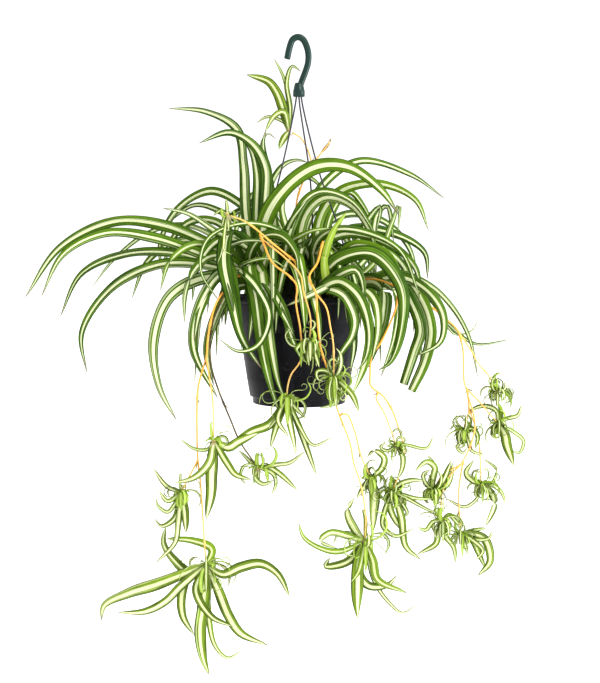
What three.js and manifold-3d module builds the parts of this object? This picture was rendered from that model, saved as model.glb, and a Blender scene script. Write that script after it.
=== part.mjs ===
// A hanging potted spider plant: a green plastic hook, three wires, a black nursery pot filled with
// soil, one clump of long striped leaves that arch over the rim, and runners with young plantlets.
//
// Millimetres, +Z up, front towards -Y. The origin is the seat of the hook, the inner top of its
// bend, where the object hangs. Everything else lies below it.

import * as THREE from 'three';
import { mergeVertices } from 'three/addons/utils/BufferGeometryUtils.js';
import Module from 'manifold-3d';

const wasm = await Module();
wasm.setup();

// Driving dimensions
const GAP = 0.3; // running clearance between neighbours
const SLIVER = 0.15; // finest detail that a joined body keeps
const HOOK_BAR = { width: 11, depth: 9 };
const HOOK_COLLAR = { radius: 8.5, top: -60, bottom: -80 };
const SOCKET_DEPTH = 8;
const SOCKET_RADIUS = 2.2;
const WIRE_RADIUS = 1.2;
const WIRE_STEPS = 17;
const RIM = { radius: 94, top: -368, lip: 9, flange: 3.5 };
const POT_WALL = 2;
const POT_BOTTOM = { z: -526, radius: 72.5, foot: 67, step: 11 };
const POT_SIDES = 24;
const EAR = { width: 13, thickness: 3, reach: 13, drop: 3, hole: 3, eye: 103.5 };
const EAR_ANGLES = [56, 176, 296]; // degrees from the front, towards +X
const SOIL_TOP = -386;
const CROWN_HOLE = { radius: 56, depth: 18 };
const CROWN_TOP = -372;
const LEAF_THICKNESS = 1.6;
const LEAF_STEP = 60; // length of blade between two cross-sections
const RUNNER_RADIUS = 1.4;
const RUNNER_STEP = 30;
const PLANTLET_STEP = 25;
const RUNNER_SIDES = 5;
const PLANTLET_KNOB = 5;

// Where the leaves spring from, in the middle of the pot
const CROWNS = [[-38, -12], [30, -16], [0, 30]];

// Colours
const HOOK_GREEN = new THREE.MeshStandardMaterial({ color: 0x1f4a40, roughness: 0.4, metalness: 0 });
const WIRE_GREY = new THREE.MeshStandardMaterial({ color: 0x4a4850, roughness: 0.35, metalness: 0.9 });
const POT_BLACK = new THREE.MeshStandardMaterial({ color: 0x24252a, roughness: 0.45, metalness: 0 });
const SOIL_BROWN = new THREE.MeshStandardMaterial({ color: 0x2d2118, roughness: 1, metalness: 0 });
const LEAF_GREEN = new THREE.MeshStandardMaterial({ color: 0x4f7d2a, roughness: 0.5, metalness: 0 });
const YOUNG_GREEN = new THREE.MeshStandardMaterial({ color: 0x9cc24a, roughness: 0.5, metalness: 0 });
const RUNNER_ORANGE = new THREE.MeshStandardMaterial({ color: 0xf0a850, roughness: 0.5, metalness: 0 });
const RUNNER_BROWN = new THREE.MeshStandardMaterial({ color: 0x3a3018, roughness: 0.6, metalness: 0 });

// Long leaves of the clump: width, then the points that the blade passes on its way to the tip
const LEAVES = [
  // upright leaves that rise past the wires on the left
  [15, [-77, -15, -251], [-81, -10, -179], [-91, -5, -127], [-135, 0, -102], [-191, 5, -96]],
  [17, [-53, -30, -251], [-50, -30, -184], [-67, -32, -151], [-99, -36, -134], [-143, -40, -149]],
  [10, [-39, -18, -237], [-51, -12, -179], [-54, -10, -147], [-45, -10, -133], [-33, -12, -142]],
  [12, [-48, 4, -247], [-39, 6, -203], [-22, 8, -178], [-3, 8, -171], [15, 6, -175]],
  // high arches to the right
  [18, [-50, -52, -267], [-21, -72, -216], [23, -84, -185], [69, -90, -185], [115, -94, -217],
    [140, -94, -252]],
  [12, [2, 40, -266], [34, 50, -205], [91, 62, -170], [169, 80, -190], [222, 90, -226]],
  [14, [28, -10, -266], [59, -22, -218], [116, -34, -207], [166, -46, -230], [185, -54, -274]],
  [12, [-16, -58, -287], [10, -66, -230], [34, -72, -218], [75, -80, -233], [111, -84, -284]],
  [12, [46, 22, -255], [74, 28, -217], [96, 34, -239], [113, 36, -277]],
  [14, [38, 12, -302], [71, 16, -274], [132, 30, -276], [187, 44, -306], [193, 50, -348]],
  [14, [27, -48, -301], [66, -56, -278], [131, -62, -295], [166, -66, -329], [171, -66, -376]],
  [11, [77, -4, -309], [103, -6, -255], [118, -8, -239], [113, -18, -273]],
  [11, [102, 18, -310], [115, 18, -251], [129, 14, -238], [139, 2, -292]],
  [9, [111, -14, -319], [134, -16, -266], [145, -18, -237], [143, -26, -276]],
  [14, [2, -30, -304], [10, -42, -251], [37, -52, -227], [75, -58, -239], [105, -62, -287],
    [110, -62, -337]],
  [12, [-13, 32, -288], [-24, 38, -236], [-12, 40, -202], [16, 42, -196], [43, 44, -222]],
  [14, [55, -72, -318], [80, -92, -295], [122, -100, -309], [144, -104, -353], [155, -104, -398]],
  [11, [17, 62, -291], [70, 86, -250], [132, 110, -261], [172, 130, -304], [186, 140, -367]],
  [12, [64, 22, -305], [106, 40, -295], [152, 60, -321], [176, 72, -376], [173, 76, -432]],
  // arches to the left
  [12, [-65, -12, -261], [-86, -6, -235], [-129, 6, -216], [-179, 24, -242], [-207, 38, -295],
    [-203, 44, -343]],
  [10, [-75, 20, -276], [-116, 36, -246], [-157, 56, -236], [-203, 76, -265]],
  [9, [-70, -62, -301], [-118, -78, -274], [-155, -92, -250], [-191, -100, -242]],
  [15, [-77, -22, -322], [-127, -30, -294], [-192, -42, -267], [-262, -58, -261], [-338, -74, -298],
    [-388, -82, -370]],
  [12, [-84, -52, -330], [-138, -66, -307], [-202, -84, -284], [-270, -104, -277],
    [-326, -120, -306], [-357, -126, -366]],
  [13, [-79, 8, -337], [-121, 14, -323], [-184, 26, -307], [-260, 42, -309], [-327, 54, -339],
    [-361, 60, -405]],
  [14, [-81, -32, -340], [-143, -30, -322], [-204, -24, -323], [-272, -16, -356], [-318, -8, -423],
    [-311, -6, -485]],
  [8, [-90, 30, -310], [-163, 50, -267], [-222, 70, -275], [-280, 88, -316], [-319, 98, -363]],
  [14, [-80, -58, -344], [-133, -76, -340], [-181, -94, -366], [-203, -106, -426],
    [-196, -110, -490], [-171, -110, -540]],
  [14, [-64, -46, -301], [-87, -62, -281], [-119, -72, -291], [-143, -78, -326], [-151, -80, -374]],
  [12, [-83, 2, -298], [-122, 16, -261], [-161, 30, -261], [-192, 42, -292], [-204, 50, -340]],
  [12, [-91, 32, -323], [-141, 54, -292], [-187, 74, -291], [-232, 94, -322], [-258, 106, -380]],
  [13, [-75, -62, -349], [-100, -84, -357], [-119, -96, -392], [-128, -98, -441], [-117, -96, -492]],
  // leaves that fall over the front of the pot
  [13, [-72, -72, -339], [-107, -92, -333], [-138, -110, -377], [-148, -116, -439], [-115, -110, -510]],
  [6, [9, -66, -327], [-22, -84, -277], [-75, -98, -263], [-126, -108, -284], [-137, -112, -328],
    [-107, -112, -379]],
  [17, [-84, -62, -290], [-100, -86, -281], [-104, -108, -317], [-91, -120, -376],
    [-79, -120, -422], [-52, -112, -466]],
  [9, [-83, -88, -329], [-60, -114, -350], [-41, -122, -391], [-57, -124, -432], [-84, -126, -440],
    [-112, -128, -422]],
  [13, [-61, -72, -321], [-43, -104, -348], [-21, -112, -385], [-11, -106, -420], [6, -98, -459]],
  [15, [-69, -90, -323], [-60, -112, -367], [-52, -106, -433], [-42, -100, -483], [-27, -92, -533]],
  [12, [-52, -92, -331], [-44, -110, -381], [-39, -104, -433], [-28, -96, -490], [-17, -92, -516]],
  [12, [-70, -62, -311], [-50, -88, -282], [-25, -102, -281], [-4, -110, -307], [-1, -112, -342]],
  [17, [27, -62, -355], [55, -92, -315], [103, -112, -306], [141, -120, -350], [143, -122, -404],
    [127, -120, -456], [109, -118, -468]],
  [14, [33, -82, -360], [57, -106, -337], [79, -118, -329], [89, -116, -353], [85, -112, -378]],
  [13, [30, -92, -362], [56, -116, -349], [82, -126, -366], [97, -126, -411], [93, -122, -449],
    [81, -118, -468]],
  [12, [49, -94, -348], [29, -108, -357], [6, -114, -368], [-18, -114, -378]],
  [12, [37, -94, -368], [61, -112, -373], [77, -116, -397], [74, -114, -420], [59, -110, -444],
    [49, -106, -472]],
  // leaves that fall to the right of the pot
  [19, [90, -62, -351], [112, -76, -363], [117, -82, -391], [110, -86, -425], [98, -88, -467]],
  [12, [137, -60, -339], [179, -74, -356], [203, -86, -392], [199, -90, -430], [164, -88, -451]],
  [9, [132, 24, -335], [191, 34, -353], [229, 44, -388], [256, 50, -435], [270, 52, -497]],
  [8, [181, 40, -365], [227, 56, -416], [267, 66, -445], [324, 80, -439]],
  [6, [198, 62, -381], [237, 78, -431], [263, 86, -427], [278, 92, -403]],
];

// Leaves that end in a straight cut instead of a tip
const CUT_LEAVES = [
  [15, [138, -42, -353], [162, -46, -380], [174, -50, -416], [165, -52, -447], [150, -52, -494]],
  [15, [147, -22, -339], [178, -26, -374], [191, -30, -417], [183, -32, -461], [163, -32, -506]],
  [18, [38, -78, -366], [35, -84, -318], [45, -88, -280], [66, -90, -247]],
];

// Leaves at the back, spread evenly over these plan angles (degrees from +X towards +Y)
const BACK_LEAVES = { count: 17, from: 14, to: 166, seed: 71 };

// Runners: each strand names the plantlet that it carries, then the points on the way down to it
const RUNNERS = {
  runner_centre_left: [
    ['plantlet_under_pot', [-51, -112, -286], [-37, -122, -317], [-12, -130, -337], [-3, -132, -349],
      [-4, -132, -373], [2, -132, -410], [3, -130, -451], [-11, -126, -473], [-16, -121, -492]],
    ['plantlet_centre', [-51, -112, -286], [-19, -124, -311], [2, -136, -334], [6, -140, -355],
      [16, -144, -394]],
  ],
  runner_centre_right: [
    ['plantlet_right_low', [32, -100, -295], [26, -118, -317], [14, -146, -338], [23, -150, -358],
      [25, -150, -386], [29, -148, -430], [40, -138, -467], [53, -118, -520], [72, -110, -572],
      [77, -110, -599], [86, -110, -626], [94, -110, -674]],
    ['plantlet_pot', [23, -150, -358], [37, -152, -377], [43, -152, -405], [47, -151, -428]],
    ['plantlet_right_inner', [53, -118, -520], [66, -116, -529], [78, -100, -554], [88, -92, -592]],
  ],
  runner_left: [
    ['plantlet_left_low', [-94, -100, -345], [-115, -116, -374], [-126, -118, -418], [-129, -118, -450],
      [-135, -116, -469], [-141, -114, -494], [-143, -110, -561], [-142, -108, -595], [-139, -106, -625],
      [-136, -104, -674]],
    ['plantlet_left_middle', [-142, -108, -595], [-152, -111, -614]],
    ['plantlet_left_upper', [-129, -118, -450], [-125, -122, -474], [-120, -124, -508]],
  ],
  runner_brown: [
    ['plantlet_brown', [-100, -78, -352], [-122, -98, -406], [-124, -98, -458], [-115, -96, -493],
      [-96, -92, -542], [-84, -90, -571]],
  ],
  runner_right: [
    ['plantlet_right_stem', [139, -96, -365], [135, -100, -384], [117, -100, -426], [102, -104, -450],
      [100, -104, -473], [101, -104, -491], [118, -104, -505], [131, -104, -525], [141, -102, -553],
      [148, -100, -578], [147, -98, -605]],
    ['plantlet_right_upper', [101, -104, -491], [108, -112, -507], [120, -118, -529]],
  ],
  runner_far_right: [
    ['plantlet_far_upper', [190, 8, -382], [221, 8, -407], [234, 8, -421], [242, 8, -449], [244, 8, -495],
      [248, 6, -510], [251, 2, -539]],
    ['plantlet_far_ball', [234, 8, -421], [254, 10, -450], [265, 12, -469], [281, 14, -488]],
    ['plantlet_far_outer', [248, 6, -510], [272, 14, -532]],
    ['plantlet_far_low', [248, 6, -510], [258, -14, -560], [240, -24, -610], [216, -20, -639],
      [209, -20, -670]],
    ['plantlet_far_stem', [251, 2, -539], [266, 10, -580]],
    ['plantlet_far_inner', [240, -24, -610], [210, -20, -632]],
    ['plantlet_far_tail', [240, -24, -610], [236, -6, -660]],
  ],
  runner_top: [
    ['plantlet_top', [2, 52, -288], [-4, 52, -236], [4, 50, -206], [18, 50, -176], [13, 48, -154],
      [2, 42, -136]],
    ['', [18, 50, -176], [28, 50, -165], [46, 50, -142]],
  ],
  runner_pale: [
    ['plantlet_pale', [-12, -106, -311], [-34, -118, -293], [-72, -124, -262]],
  ],
};

// Plantlets: the base, how many curled leaves fill it up and their reach, then the leaves that show
// best: width, then the points that the leaf passes on its way to the tip
const PLANTLETS = {
  plantlet_top: {
    base: [-15, 35, -127], curls: 0, reach: 26,
    leaves: [
      [6.5, [-13, 34, -94], [-18, 32, -56], [-10, 30, -33], [3, 29, -41]],
      [5, [-16, 37, -82], [-23, 39, -48], [-37, 41, -20]],
      [12, [-24, 32, -94], [-33, 28, -71], [-45, 24, -56], [-77, 21, -46]],
      [7.5, [-22, 29, -100], [-35, 23, -105], [-50, 17, -130]],
      [4, [-23, 36, -114], [-46, 38, -106], [-63, 39, -115]],
      [9, [-23, 25, -141], [-29, 15, -155]],
    ],
  },
  plantlet_pale: {
    base: [-99, -124, -251], curls: 0, reach: 20,
    leaves: [
      [4, [-108, -124, -246], [-118, -124, -253]],
      [4, [-99, -128, -240], [-100, -132, -230]],
      [4.5, [-103, -129, -257], [-105, -134, -268]],
      [5, [-98, -122, -260], [-97, -120, -273]],
      [4, [-103, -128, -284], [-106, -132, -303], [-112, -136, -319]],
      [3.5, [-103, -129, -286], [-102, -135, -301], [-92, -140, -306]],
    ],
  },
  plantlet_centre: {
    base: [15, -148, -426], curls: 3, reach: 24,
    leaves: [
      [5.5, [4, -151, -428], [-3, -153, -436], [2, -156, -441]],
      [7, [12, -147, -442], [14, -146, -459]],
      [7, [21, -153, -439], [28, -158, -460]],
    ],
  },
  plantlet_pot: {
    base: [48, -150, -475], curls: 3, reach: 26,
    leaves: [
      [5.5, [37, -152, -465], [25, -153, -466], [26, -154, -476], [34, -156, -479]],
      [9.5, [50, -152, -491], [54, -154, -510]],
      [5.5, [55, -149, -494], [48, -147, -511], [28, -146, -517]],
      [8, [59, -154, -483], [73, -158, -498], [82, -162, -520]],
    ],
  },
  plantlet_under_pot: {
    base: [-17, -120, -506], curls: 0, reach: 26,
    leaves: [
      [7, [-24, -123, -525], [-42, -126, -549]],
      [10.5, [-40, -118, -543], [-68, -116, -555], [-101, -114, -576]],
      [6, [-29, -126, -536], [-14, -132, -559]],
      [7.5, [-14, -125, -534], [-7, -129, -567], [-4, -134, -584]],
      [7.5, [0, -117, -547], [11, -115, -578], [25, -112, -617]],
      [5, [2, -121, -548], [20, -123, -572], [48, -124, -560]],
      [5.5, [-5, -113, -521], [10, -106, -537]],
      [8.5, [-32, -120, -548], [-40, -120, -576]],
    ],
  },
  plantlet_brown: {
    base: [-58, -86, -610], curls: 1, reach: 24,
    leaves: [
      [7, [-44, -85, -609], [-29, -83, -618], [-2, -82, -643]],
      [6, [-62, -89, -624], [-51, -93, -632], [-35, -96, -626]],
      [5, [-37, -83, -619], [-33, -81, -633], [-39, -78, -650]],
      [5.5, [-30, -88, -605], [-13, -90, -602], [9, -92, -585]],
      [5.5, [-71, -81, -599], [-87, -76, -586]],
    ],
  },
  plantlet_left_upper: {
    base: [-119, -122, -566], curls: 1, reach: 22,
    leaves: [
      [4.5, [-127, -120, -578], [-146, -118, -578], [-167, -116, -564]],
      [9.5, [-125, -125, -597], [-146, -129, -617], [-173, -132, -624]],
      [14, [-122, -122, -614], [-123, -122, -642], [-130, -122, -677]],
      [9, [-99, -127, -599], [-88, -133, -612], [-66, -138, -618]],
      [11, [-99, -119, -576], [-84, -117, -568], [-53, -114, -554]],
    ],
  },
  plantlet_left_middle: {
    base: [-166, -112, -641], curls: 0, reach: 22,
    leaves: [
      [5.5, [-187, -108, -632], [-206, -104, -607]],
      [5.5, [-184, -118, -652], [-196, -124, -636]],
      [5, [-184, -114, -668], [-198, -116, -659], [-201, -118, -646]],
      [7, [-175, -109, -678], [-195, -105, -690], [-205, -102, -679]],
      [11, [-161, -114, -668], [-159, -116, -697]],
      [7, [-170, -111, -686], [-175, -109, -713], [-202, -108, -742]],
    ],
  },
  plantlet_left_low: {
    base: [-132, -100, -747], curls: 0, reach: 30,
    leaves: [
      [14.5, [-200, -102, -774], [-242, -105, -787], [-276, -108, -804], [-280, -110, -825]],
      [10.5, [-167, -106, -776], [-189, -111, -797], [-217, -116, -810], [-256, -122, -810]],
      [11, [-155, -96, -759], [-167, -92, -791], [-166, -88, -824], [-150, -84, -853]],
      [15.5, [-136, -101, -803], [-141, -102, -839], [-137, -103, -879], [-128, -104, -905]],
      [12.5, [-116, -98, -782], [-101, -96, -821], [-83, -94, -848], [-43, -92, -866]],
      [12.5, [-108, -104, -760], [-82, -107, -749], [-54, -111, -743], [-31, -114, -756],
        [-13, -118, -788]],
      [10, [-128, -97, -724], [-151, -93, -714], [-189, -90, -711]],
      [11, [-156, -94, -759], [-180, -88, -741], [-194, -82, -719], [-191, -76, -696]],
      [11, [-146, -109, -781], [-124, -117, -817], [-93, -126, -829]],
      [7, [-131, -92, -799], [-121, -85, -867], [-102, -78, -888], [-82, -70, -878]],
    ],
  },
  plantlet_right_low: {
    base: [93, -108, -711], curls: 0, reach: 30,
    leaves: [
      [7, [59, -110, -725], [37, -111, -723], [7, -112, -705], [-1, -114, -682]],
      [9, [73, -113, -704], [44, -118, -697], [31, -123, -707], [54, -128, -717]],
      [11, [73, -106, -738], [57, -104, -746], [37, -102, -748], [44, -100, -736]],
      [10, [79, -104, -696], [68, -100, -669], [78, -96, -651]],
      [16, [85, -111, -740], [83, -113, -781], [83, -116, -820]],
      [7, [88, -116, -740], [83, -124, -753], [73, -132, -764]],
      [11, [84, -106, -755], [99, -105, -776], [126, -104, -775], [139, -102, -761]],
      [10, [104, -113, -737], [111, -117, -764], [152, -122, -782]],
      [5, [106, -104, -767], [127, -100, -800], [148, -96, -817], [170, -92, -805]],
    ],
  },
  plantlet_right_inner: {
    base: [102, -86, -624], curls: 0, reach: 18,
    leaves: [
      [12, [107, -88, -647], [106, -90, -673], [105, -92, -701]],
      [8, [90, -93, -640], [82, -100, -651]],
      [5.5, [116, -82, -652], [126, -78, -660]],
      [8.5, [118, -84, -610], [121, -82, -596], [108, -80, -587], [97, -78, -596]],
    ],
  },
  plantlet_right_stem: {
    base: [132, -94, -642], curls: 0, reach: 18,
    leaves: [
      [6.5, [122, -96, -668], [119, -99, -691], [137, -102, -705], [164, -104, -693]],
      [7.5, [129, -92, -664], [138, -90, -686], [154, -88, -705]],
      [9, [145, -94, -678], [152, -94, -722], [174, -94, -741]],
      [5.5, [164, -89, -653], [190, -84, -655]],
      [5, [157, -98, -654], [182, -102, -667], [196, -106, -671]],
      [5, [151, -89, -667], [154, -85, -676], [140, -80, -685]],
      [7, [142, -96, -628], [157, -98, -625], [177, -100, -626]],
    ],
  },
  plantlet_right_upper: {
    base: [136, -120, -573], curls: 2, reach: 14,
    leaves: [
      [4, [148, -118, -572], [179, -116, -577], [189, -114, -559]],
      [4.5, [124, -123, -580], [114, -125, -575], [120, -128, -567]],
      [6.5, [145, -120, -589], [144, -120, -606], [137, -120, -621]],
    ],
  },
  plantlet_far_inner: {
    base: [197, -20, -653], curls: 1, reach: 18,
    leaves: [
      [7.5, [199, -22, -635], [201, -24, -620], [187, -26, -611], [169, -28, -625]],
      [6, [203, -18, -626], [195, -16, -611], [188, -14, -602]],
      [8, [204, -25, -645], [213, -29, -632], [222, -34, -608]],
      [6.5, [215, -17, -650], [224, -13, -637], [227, -10, -613]],
      [5, [186, -21, -644], [182, -23, -629], [193, -24, -623]],
    ],
  },
  plantlet_far_low: {
    base: [210, -21, -699], curls: 1, reach: 20,
    leaves: [
      [7.5, [205, -19, -718], [202, -17, -734], [174, -15, -751]],
      [7.5, [214, -25, -719], [227, -29, -738], [229, -33, -759]],
      [6, [221, -18, -691], [230, -14, -700], [239, -11, -710]],
      [6, [197, -24, -700], [186, -26, -712], [174, -29, -707]],
    ],
  },
  plantlet_far_tail: {
    base: [241, 6, -724], curls: 0, reach: 20,
    leaves: [
      [6, [258, 8, -720], [280, 10, -716]],
      [11, [262, 4, -725], [277, 3, -733], [284, 2, -765], [266, 0, -786]],
      [7.5, [258, 9, -734], [269, 11, -756], [280, 14, -780]],
      [5, [262, 2, -732], [282, -2, -729], [286, -6, -716]],
      [6, [247, 14, -739], [254, 22, -759]],
      [6, [257, 2, -732], [273, -2, -748], [262, -6, -761]],
    ],
  },
  plantlet_far_ball: {
    base: [294, 14, -511], curls: 5, reach: 18,
    leaves: [],
  },
  plantlet_far_outer: {
    base: [297, 22, -561], curls: 0, reach: 18,
    leaves: [
      [6, [310, 25, -554], [327, 27, -549], [333, 30, -533]],
      [12, [306, 20, -575], [310, 18, -594], [320, 16, -623]],
      [5, [321, 25, -574], [336, 28, -588], [330, 31, -606], [316, 34, -601]],
      [6, [289, 16, -567], [289, 10, -579]],
      [6, [294, 23, -542], [279, 24, -535], [261, 25, -539], [251, 26, -553]],
    ],
  },
  plantlet_far_upper: {
    base: [242, -4, -567], curls: 2, reach: 18,
    leaves: [
      [6.5, [256, -6, -565], [263, -8, -576], [259, -10, -594]],
      [5, [244, -2, -579], [234, 0, -593], [243, 2, -602], [250, 4, -593]],
      [5, [249, -3, -582], [255, -3, -598], [275, -2, -605]],
    ],
  },
  plantlet_far_stem: {
    base: [272, 16, -651], curls: 1, reach: 18,
    leaves: [
      [10, [285, 14, -662], [291, 12, -680], [278, 10, -713]],
      [5, [287, 19, -653], [302, 23, -663], [310, 26, -683]],
      [4.5, [287, 21, -652], [296, 25, -631], [276, 30, -614]],
      [4.5, [267, 13, -670], [247, 9, -684], [217, 6, -670]],
      [6.5, [261, 17, -648], [249, 19, -635], [261, 20, -615]],
    ],
  },
};

const vec = (point) => new THREE.Vector3(...point);
const radians = THREE.MathUtils.degToRad;

// Repeatable random numbers between 0 and 1
function randomNumbers(seed) {
  let state = seed;
  return () => {
    state = (state * 16807) % 2147483647;
    return state / 2147483647;
  };
}

// A closed geometry as a solid for joining and cutting
function solidOf(geometry) {
  const bare = geometry.clone();
  bare.deleteAttribute('normal');
  bare.deleteAttribute('uv');
  const merged = mergeVertices(bare, 1e-3);
  return new wasm.Manifold(new wasm.Mesh({
    numProp: 3,
    vertProperties: new Float32Array(merged.attributes.position.array),
    triVerts: new Uint32Array(merged.index.array),
  }));
}

// Several solids as one body, without the slivers that the joining leaves. The largest body is the
// outside: pockets that the joining seals are filled.
function joined(solids) {
  const bodies = wasm.Manifold.union(solids).simplify(SLIVER).decompose();
  return bodies.reduce((best, body) => (body.volume() > best.volume() ? body : best));
}

function geometryOf(solid) {
  const mesh = solid.getMesh();
  const geometry = new THREE.BufferGeometry();
  geometry.setAttribute('position', new THREE.BufferAttribute(mesh.vertProperties, 3));
  geometry.setIndex(new THREE.BufferAttribute(mesh.triVerts, 1));
  geometry.computeVertexNormals();
  return geometry;
}

// A round bar along a curve
function tube(curve, radius, sides, steps) {
  const section = new THREE.Shape();
  for (let side = 0; side < sides; side += 1) {
    const angle = (side / sides) * 2 * Math.PI;
    const corner = [radius * Math.cos(angle), radius * Math.sin(angle)];
    if (side === 0) section.moveTo(...corner);
    else section.lineTo(...corner);
  }
  section.closePath();
  return new THREE.ExtrudeGeometry(section, { steps, bevelEnabled: false, extrudePath: curve });
}

function smooth(points) {
  return new THREE.CatmullRomCurve3(points, false, 'centripetal');
}

// A lathe profile given as radius and height, turned to stand along Z
function turned(profile, sides) {
  const points = profile.map(([radius, height]) => new THREE.Vector2(radius, height));
  return new THREE.LatheGeometry(points, sides).rotateX(Math.PI / 2);
}

// The direction from the pot's axis at an angle from the front, towards +X
function outward(angle) {
  return new THREE.Vector3(Math.sin(radians(angle)), -Math.cos(radians(angle)), 0);
}

// Centre lines of the three wires, from the socket in the hook to the bend in the ear
const WIRE_MIDDLES = [
  [[30, -20, -192], [54, -36, -261]],
  [[17, 40, -202], [19, 70, -284]],
  [[-34, -16, -218], [-60, -28, -293]],
];

function wireCurve(index) {
  const out = outward(EAR_ANGLES[index]);
  const at = (radius, z) => out.clone().multiplyScalar(radius).setZ(z);
  return smooth([
    at(4, HOOK_COLLAR.bottom + SOCKET_DEPTH - GAP),
    at(4.6, HOOK_COLLAR.bottom - 4),
    ...WIRE_MIDDLES[index].map(vec),
    at(EAR.eye - 9, RIM.top + 22),
    at(EAR.eye - 0.6, RIM.top - EAR.drop),
    at(EAR.eye + 0.8, RIM.top - EAR.drop - EAR.thickness - 3),
  ]);
}

function hook() {
  const centreLine = smooth([
    [-17, 0, -25], [-13.5, 0, -9], [-9, 0, 2], [-1.5, 0, 5.6], [5.5, 0, 2.5], [10.8, 0, -7],
    [13.6, 0, -19], [13, 0, -32], [9, 0, -45], [4, 0, -58], [1, 0, -68], [0, 0, -74],
  ].map(vec));
  const half = { x: HOOK_BAR.depth / 2, y: HOOK_BAR.width / 2 };
  const bevel = 2.5;
  const section = new THREE.Shape([
    [half.x - bevel, -half.y], [half.x, -half.y + bevel],
    [half.x, half.y - bevel], [half.x - bevel, half.y],
    [-half.x + bevel, half.y], [-half.x, half.y - bevel],
    [-half.x, -half.y + bevel], [-half.x + bevel, -half.y],
  ].map(([x, y]) => new THREE.Vector2(x, y)));
  const sweep = { steps: 16, bevelEnabled: false, extrudePath: centreLine };
  const bar = new THREE.ExtrudeGeometry(section, sweep);
  const { radius, top, bottom } = HOOK_COLLAR;
  const collar = turned([
    [0, bottom], [radius, bottom], [radius, bottom + 9], [radius - 3, top], [0, top],
  ], 12);
  let solid = solidOf(bar).add(solidOf(collar));
  EAR_ANGLES.forEach((angle, index) => {
    const start = wireCurve(index).getPoint(0).setZ(bottom + SOCKET_DEPTH);
    const end = start.clone().addScaledVector(outward(angle), 0.9).setZ(bottom - 1);
    solid = solid.subtract(solidOf(tube(new THREE.LineCurve3(start, end), SOCKET_RADIUS, 8, 1)));
  });
  return geometryOf(solid);
}

function pot() {
  const { z, radius, foot, step } = POT_BOTTOM;
  const { radius: rim, top, lip, flange } = RIM;
  const shell = turned([
    [0, z], [foot, z], [foot + 1, z + 1], [foot + 1, z + step - 2], [radius, z + step],
    [rim, top - lip], [rim + flange, top - lip + 1], [rim + flange, top],
    [rim - POT_WALL, top], [radius - POT_WALL, z + step + 1],
    [foot - POT_WALL, z + step - 2], [foot - POT_WALL, z + POT_WALL], [0, z + POT_WALL],
  ], POT_SIDES);
  let solid = solidOf(shell);
  EAR_ANGLES.forEach((angle) => {
    const { width, thickness, reach, drop, hole } = EAR;
    const inner = rim + flange - 2;
    const ear = new THREE.BoxGeometry(width, reach + 2, thickness);
    ear.translate(0, -(inner + (reach + 2) / 2), top - drop - thickness / 2);
    ear.rotateZ(radians(angle));
    const eye = outward(angle).multiplyScalar(EAR.eye);
    const from = eye.clone().setZ(top + 2);
    const to = eye.clone().setZ(top - drop - thickness - 2);
    solid = solid.add(solidOf(ear));
    solid = solid.subtract(solidOf(tube(new THREE.LineCurve3(from, to), hole, 8, 1)));
  });
  return geometryOf(solid);
}

// The outside radius of the pot's wall at a height
function potRadius(z) {
  const low = POT_BOTTOM.z + POT_BOTTOM.step;
  const share = THREE.MathUtils.clamp((z - low) / (RIM.top - RIM.lip - low), 0, 1);
  return POT_BOTTOM.radius + share * (RIM.radius - POT_BOTTOM.radius);
}

function soil() {
  const inner = (z) => potRadius(z) - POT_WALL - 3 * GAP;
  const low = POT_BOTTOM.z + POT_BOTTOM.step + 2;
  const bed = POT_BOTTOM.z + POT_WALL + GAP;
  const foot = POT_BOTTOM.foot - POT_WALL - 2 * GAP;
  return turned([
    [0, bed], [foot, bed], [foot, low - 3], [inner(low), low + 2],
    [inner(SOIL_TOP) - 1, SOIL_TOP - 2], [CROWN_HOLE.radius, SOIL_TOP],
    [CROWN_HOLE.radius, SOIL_TOP - CROWN_HOLE.depth], [0, SOIL_TOP - CROWN_HOLE.depth],
  ], POT_SIDES);
}

// Points along a line of straight spans, no further apart than the spacing
function sampled(points, spacing) {
  const samples = [];
  for (let index = 1; index < points.length; index += 1) {
    const count = Math.max(1, Math.ceil(points[index].distanceTo(points[index - 1]) / spacing));
    for (let step = 0; step < count; step += 1) {
      samples.push(points[index - 1].clone().lerp(points[index], step / count));
    }
  }
  samples.push(points[points.length - 1].clone());
  return samples;
}

function rimRing() {
  const at = (_, index) => outward(index * 5).multiplyScalar(RIM.radius).setZ(RIM.top - 1);
  return Array.from({ length: 73 }, at);
}

function earLine(angle) {
  const start = RIM.radius + RIM.flange;
  const at = (step) => outward(angle).multiplyScalar(start + step).setZ(RIM.top - 4);
  return [0, 4, 8, 12].map(at);
}

// The direction from a plantlet's base to the last point of the strand that carries it
function towardsRunner(carried, points) {
  return vec(points[points.length - 1]).sub(vec(PLANTLETS[carried].base)).normalize();
}

// The line of a strand, which stops just short of the plantlet's knob
function runnerCurve([carried, ...points]) {
  const line = points.map(vec);
  if (carried) {
    const stop = towardsRunner(carried, points).multiplyScalar(PLANTLET_KNOB + GAP);
    line.push(stop.add(vec(PLANTLETS[carried].base)));
  }
  return smooth(line);
}

function strandSteps(strand) {
  return Math.max(3, Math.round(runnerCurve(strand).getLength() / RUNNER_STEP));
}

// The line of a branch, which starts on a bend of the strand that it leaves
function branchCurve(strand, parents) {
  const curve = runnerCurve(strand);
  const start = curve.points[0];
  const bends = parents.flatMap((parent) => runnerCurve(parent).getSpacedPoints(strandSteps(parent)));
  curve.points[0] = bends.reduce((best, bend) => (
    bend.distanceTo(start) < best.distanceTo(start) ? bend : best));
  return curve;
}

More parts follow.
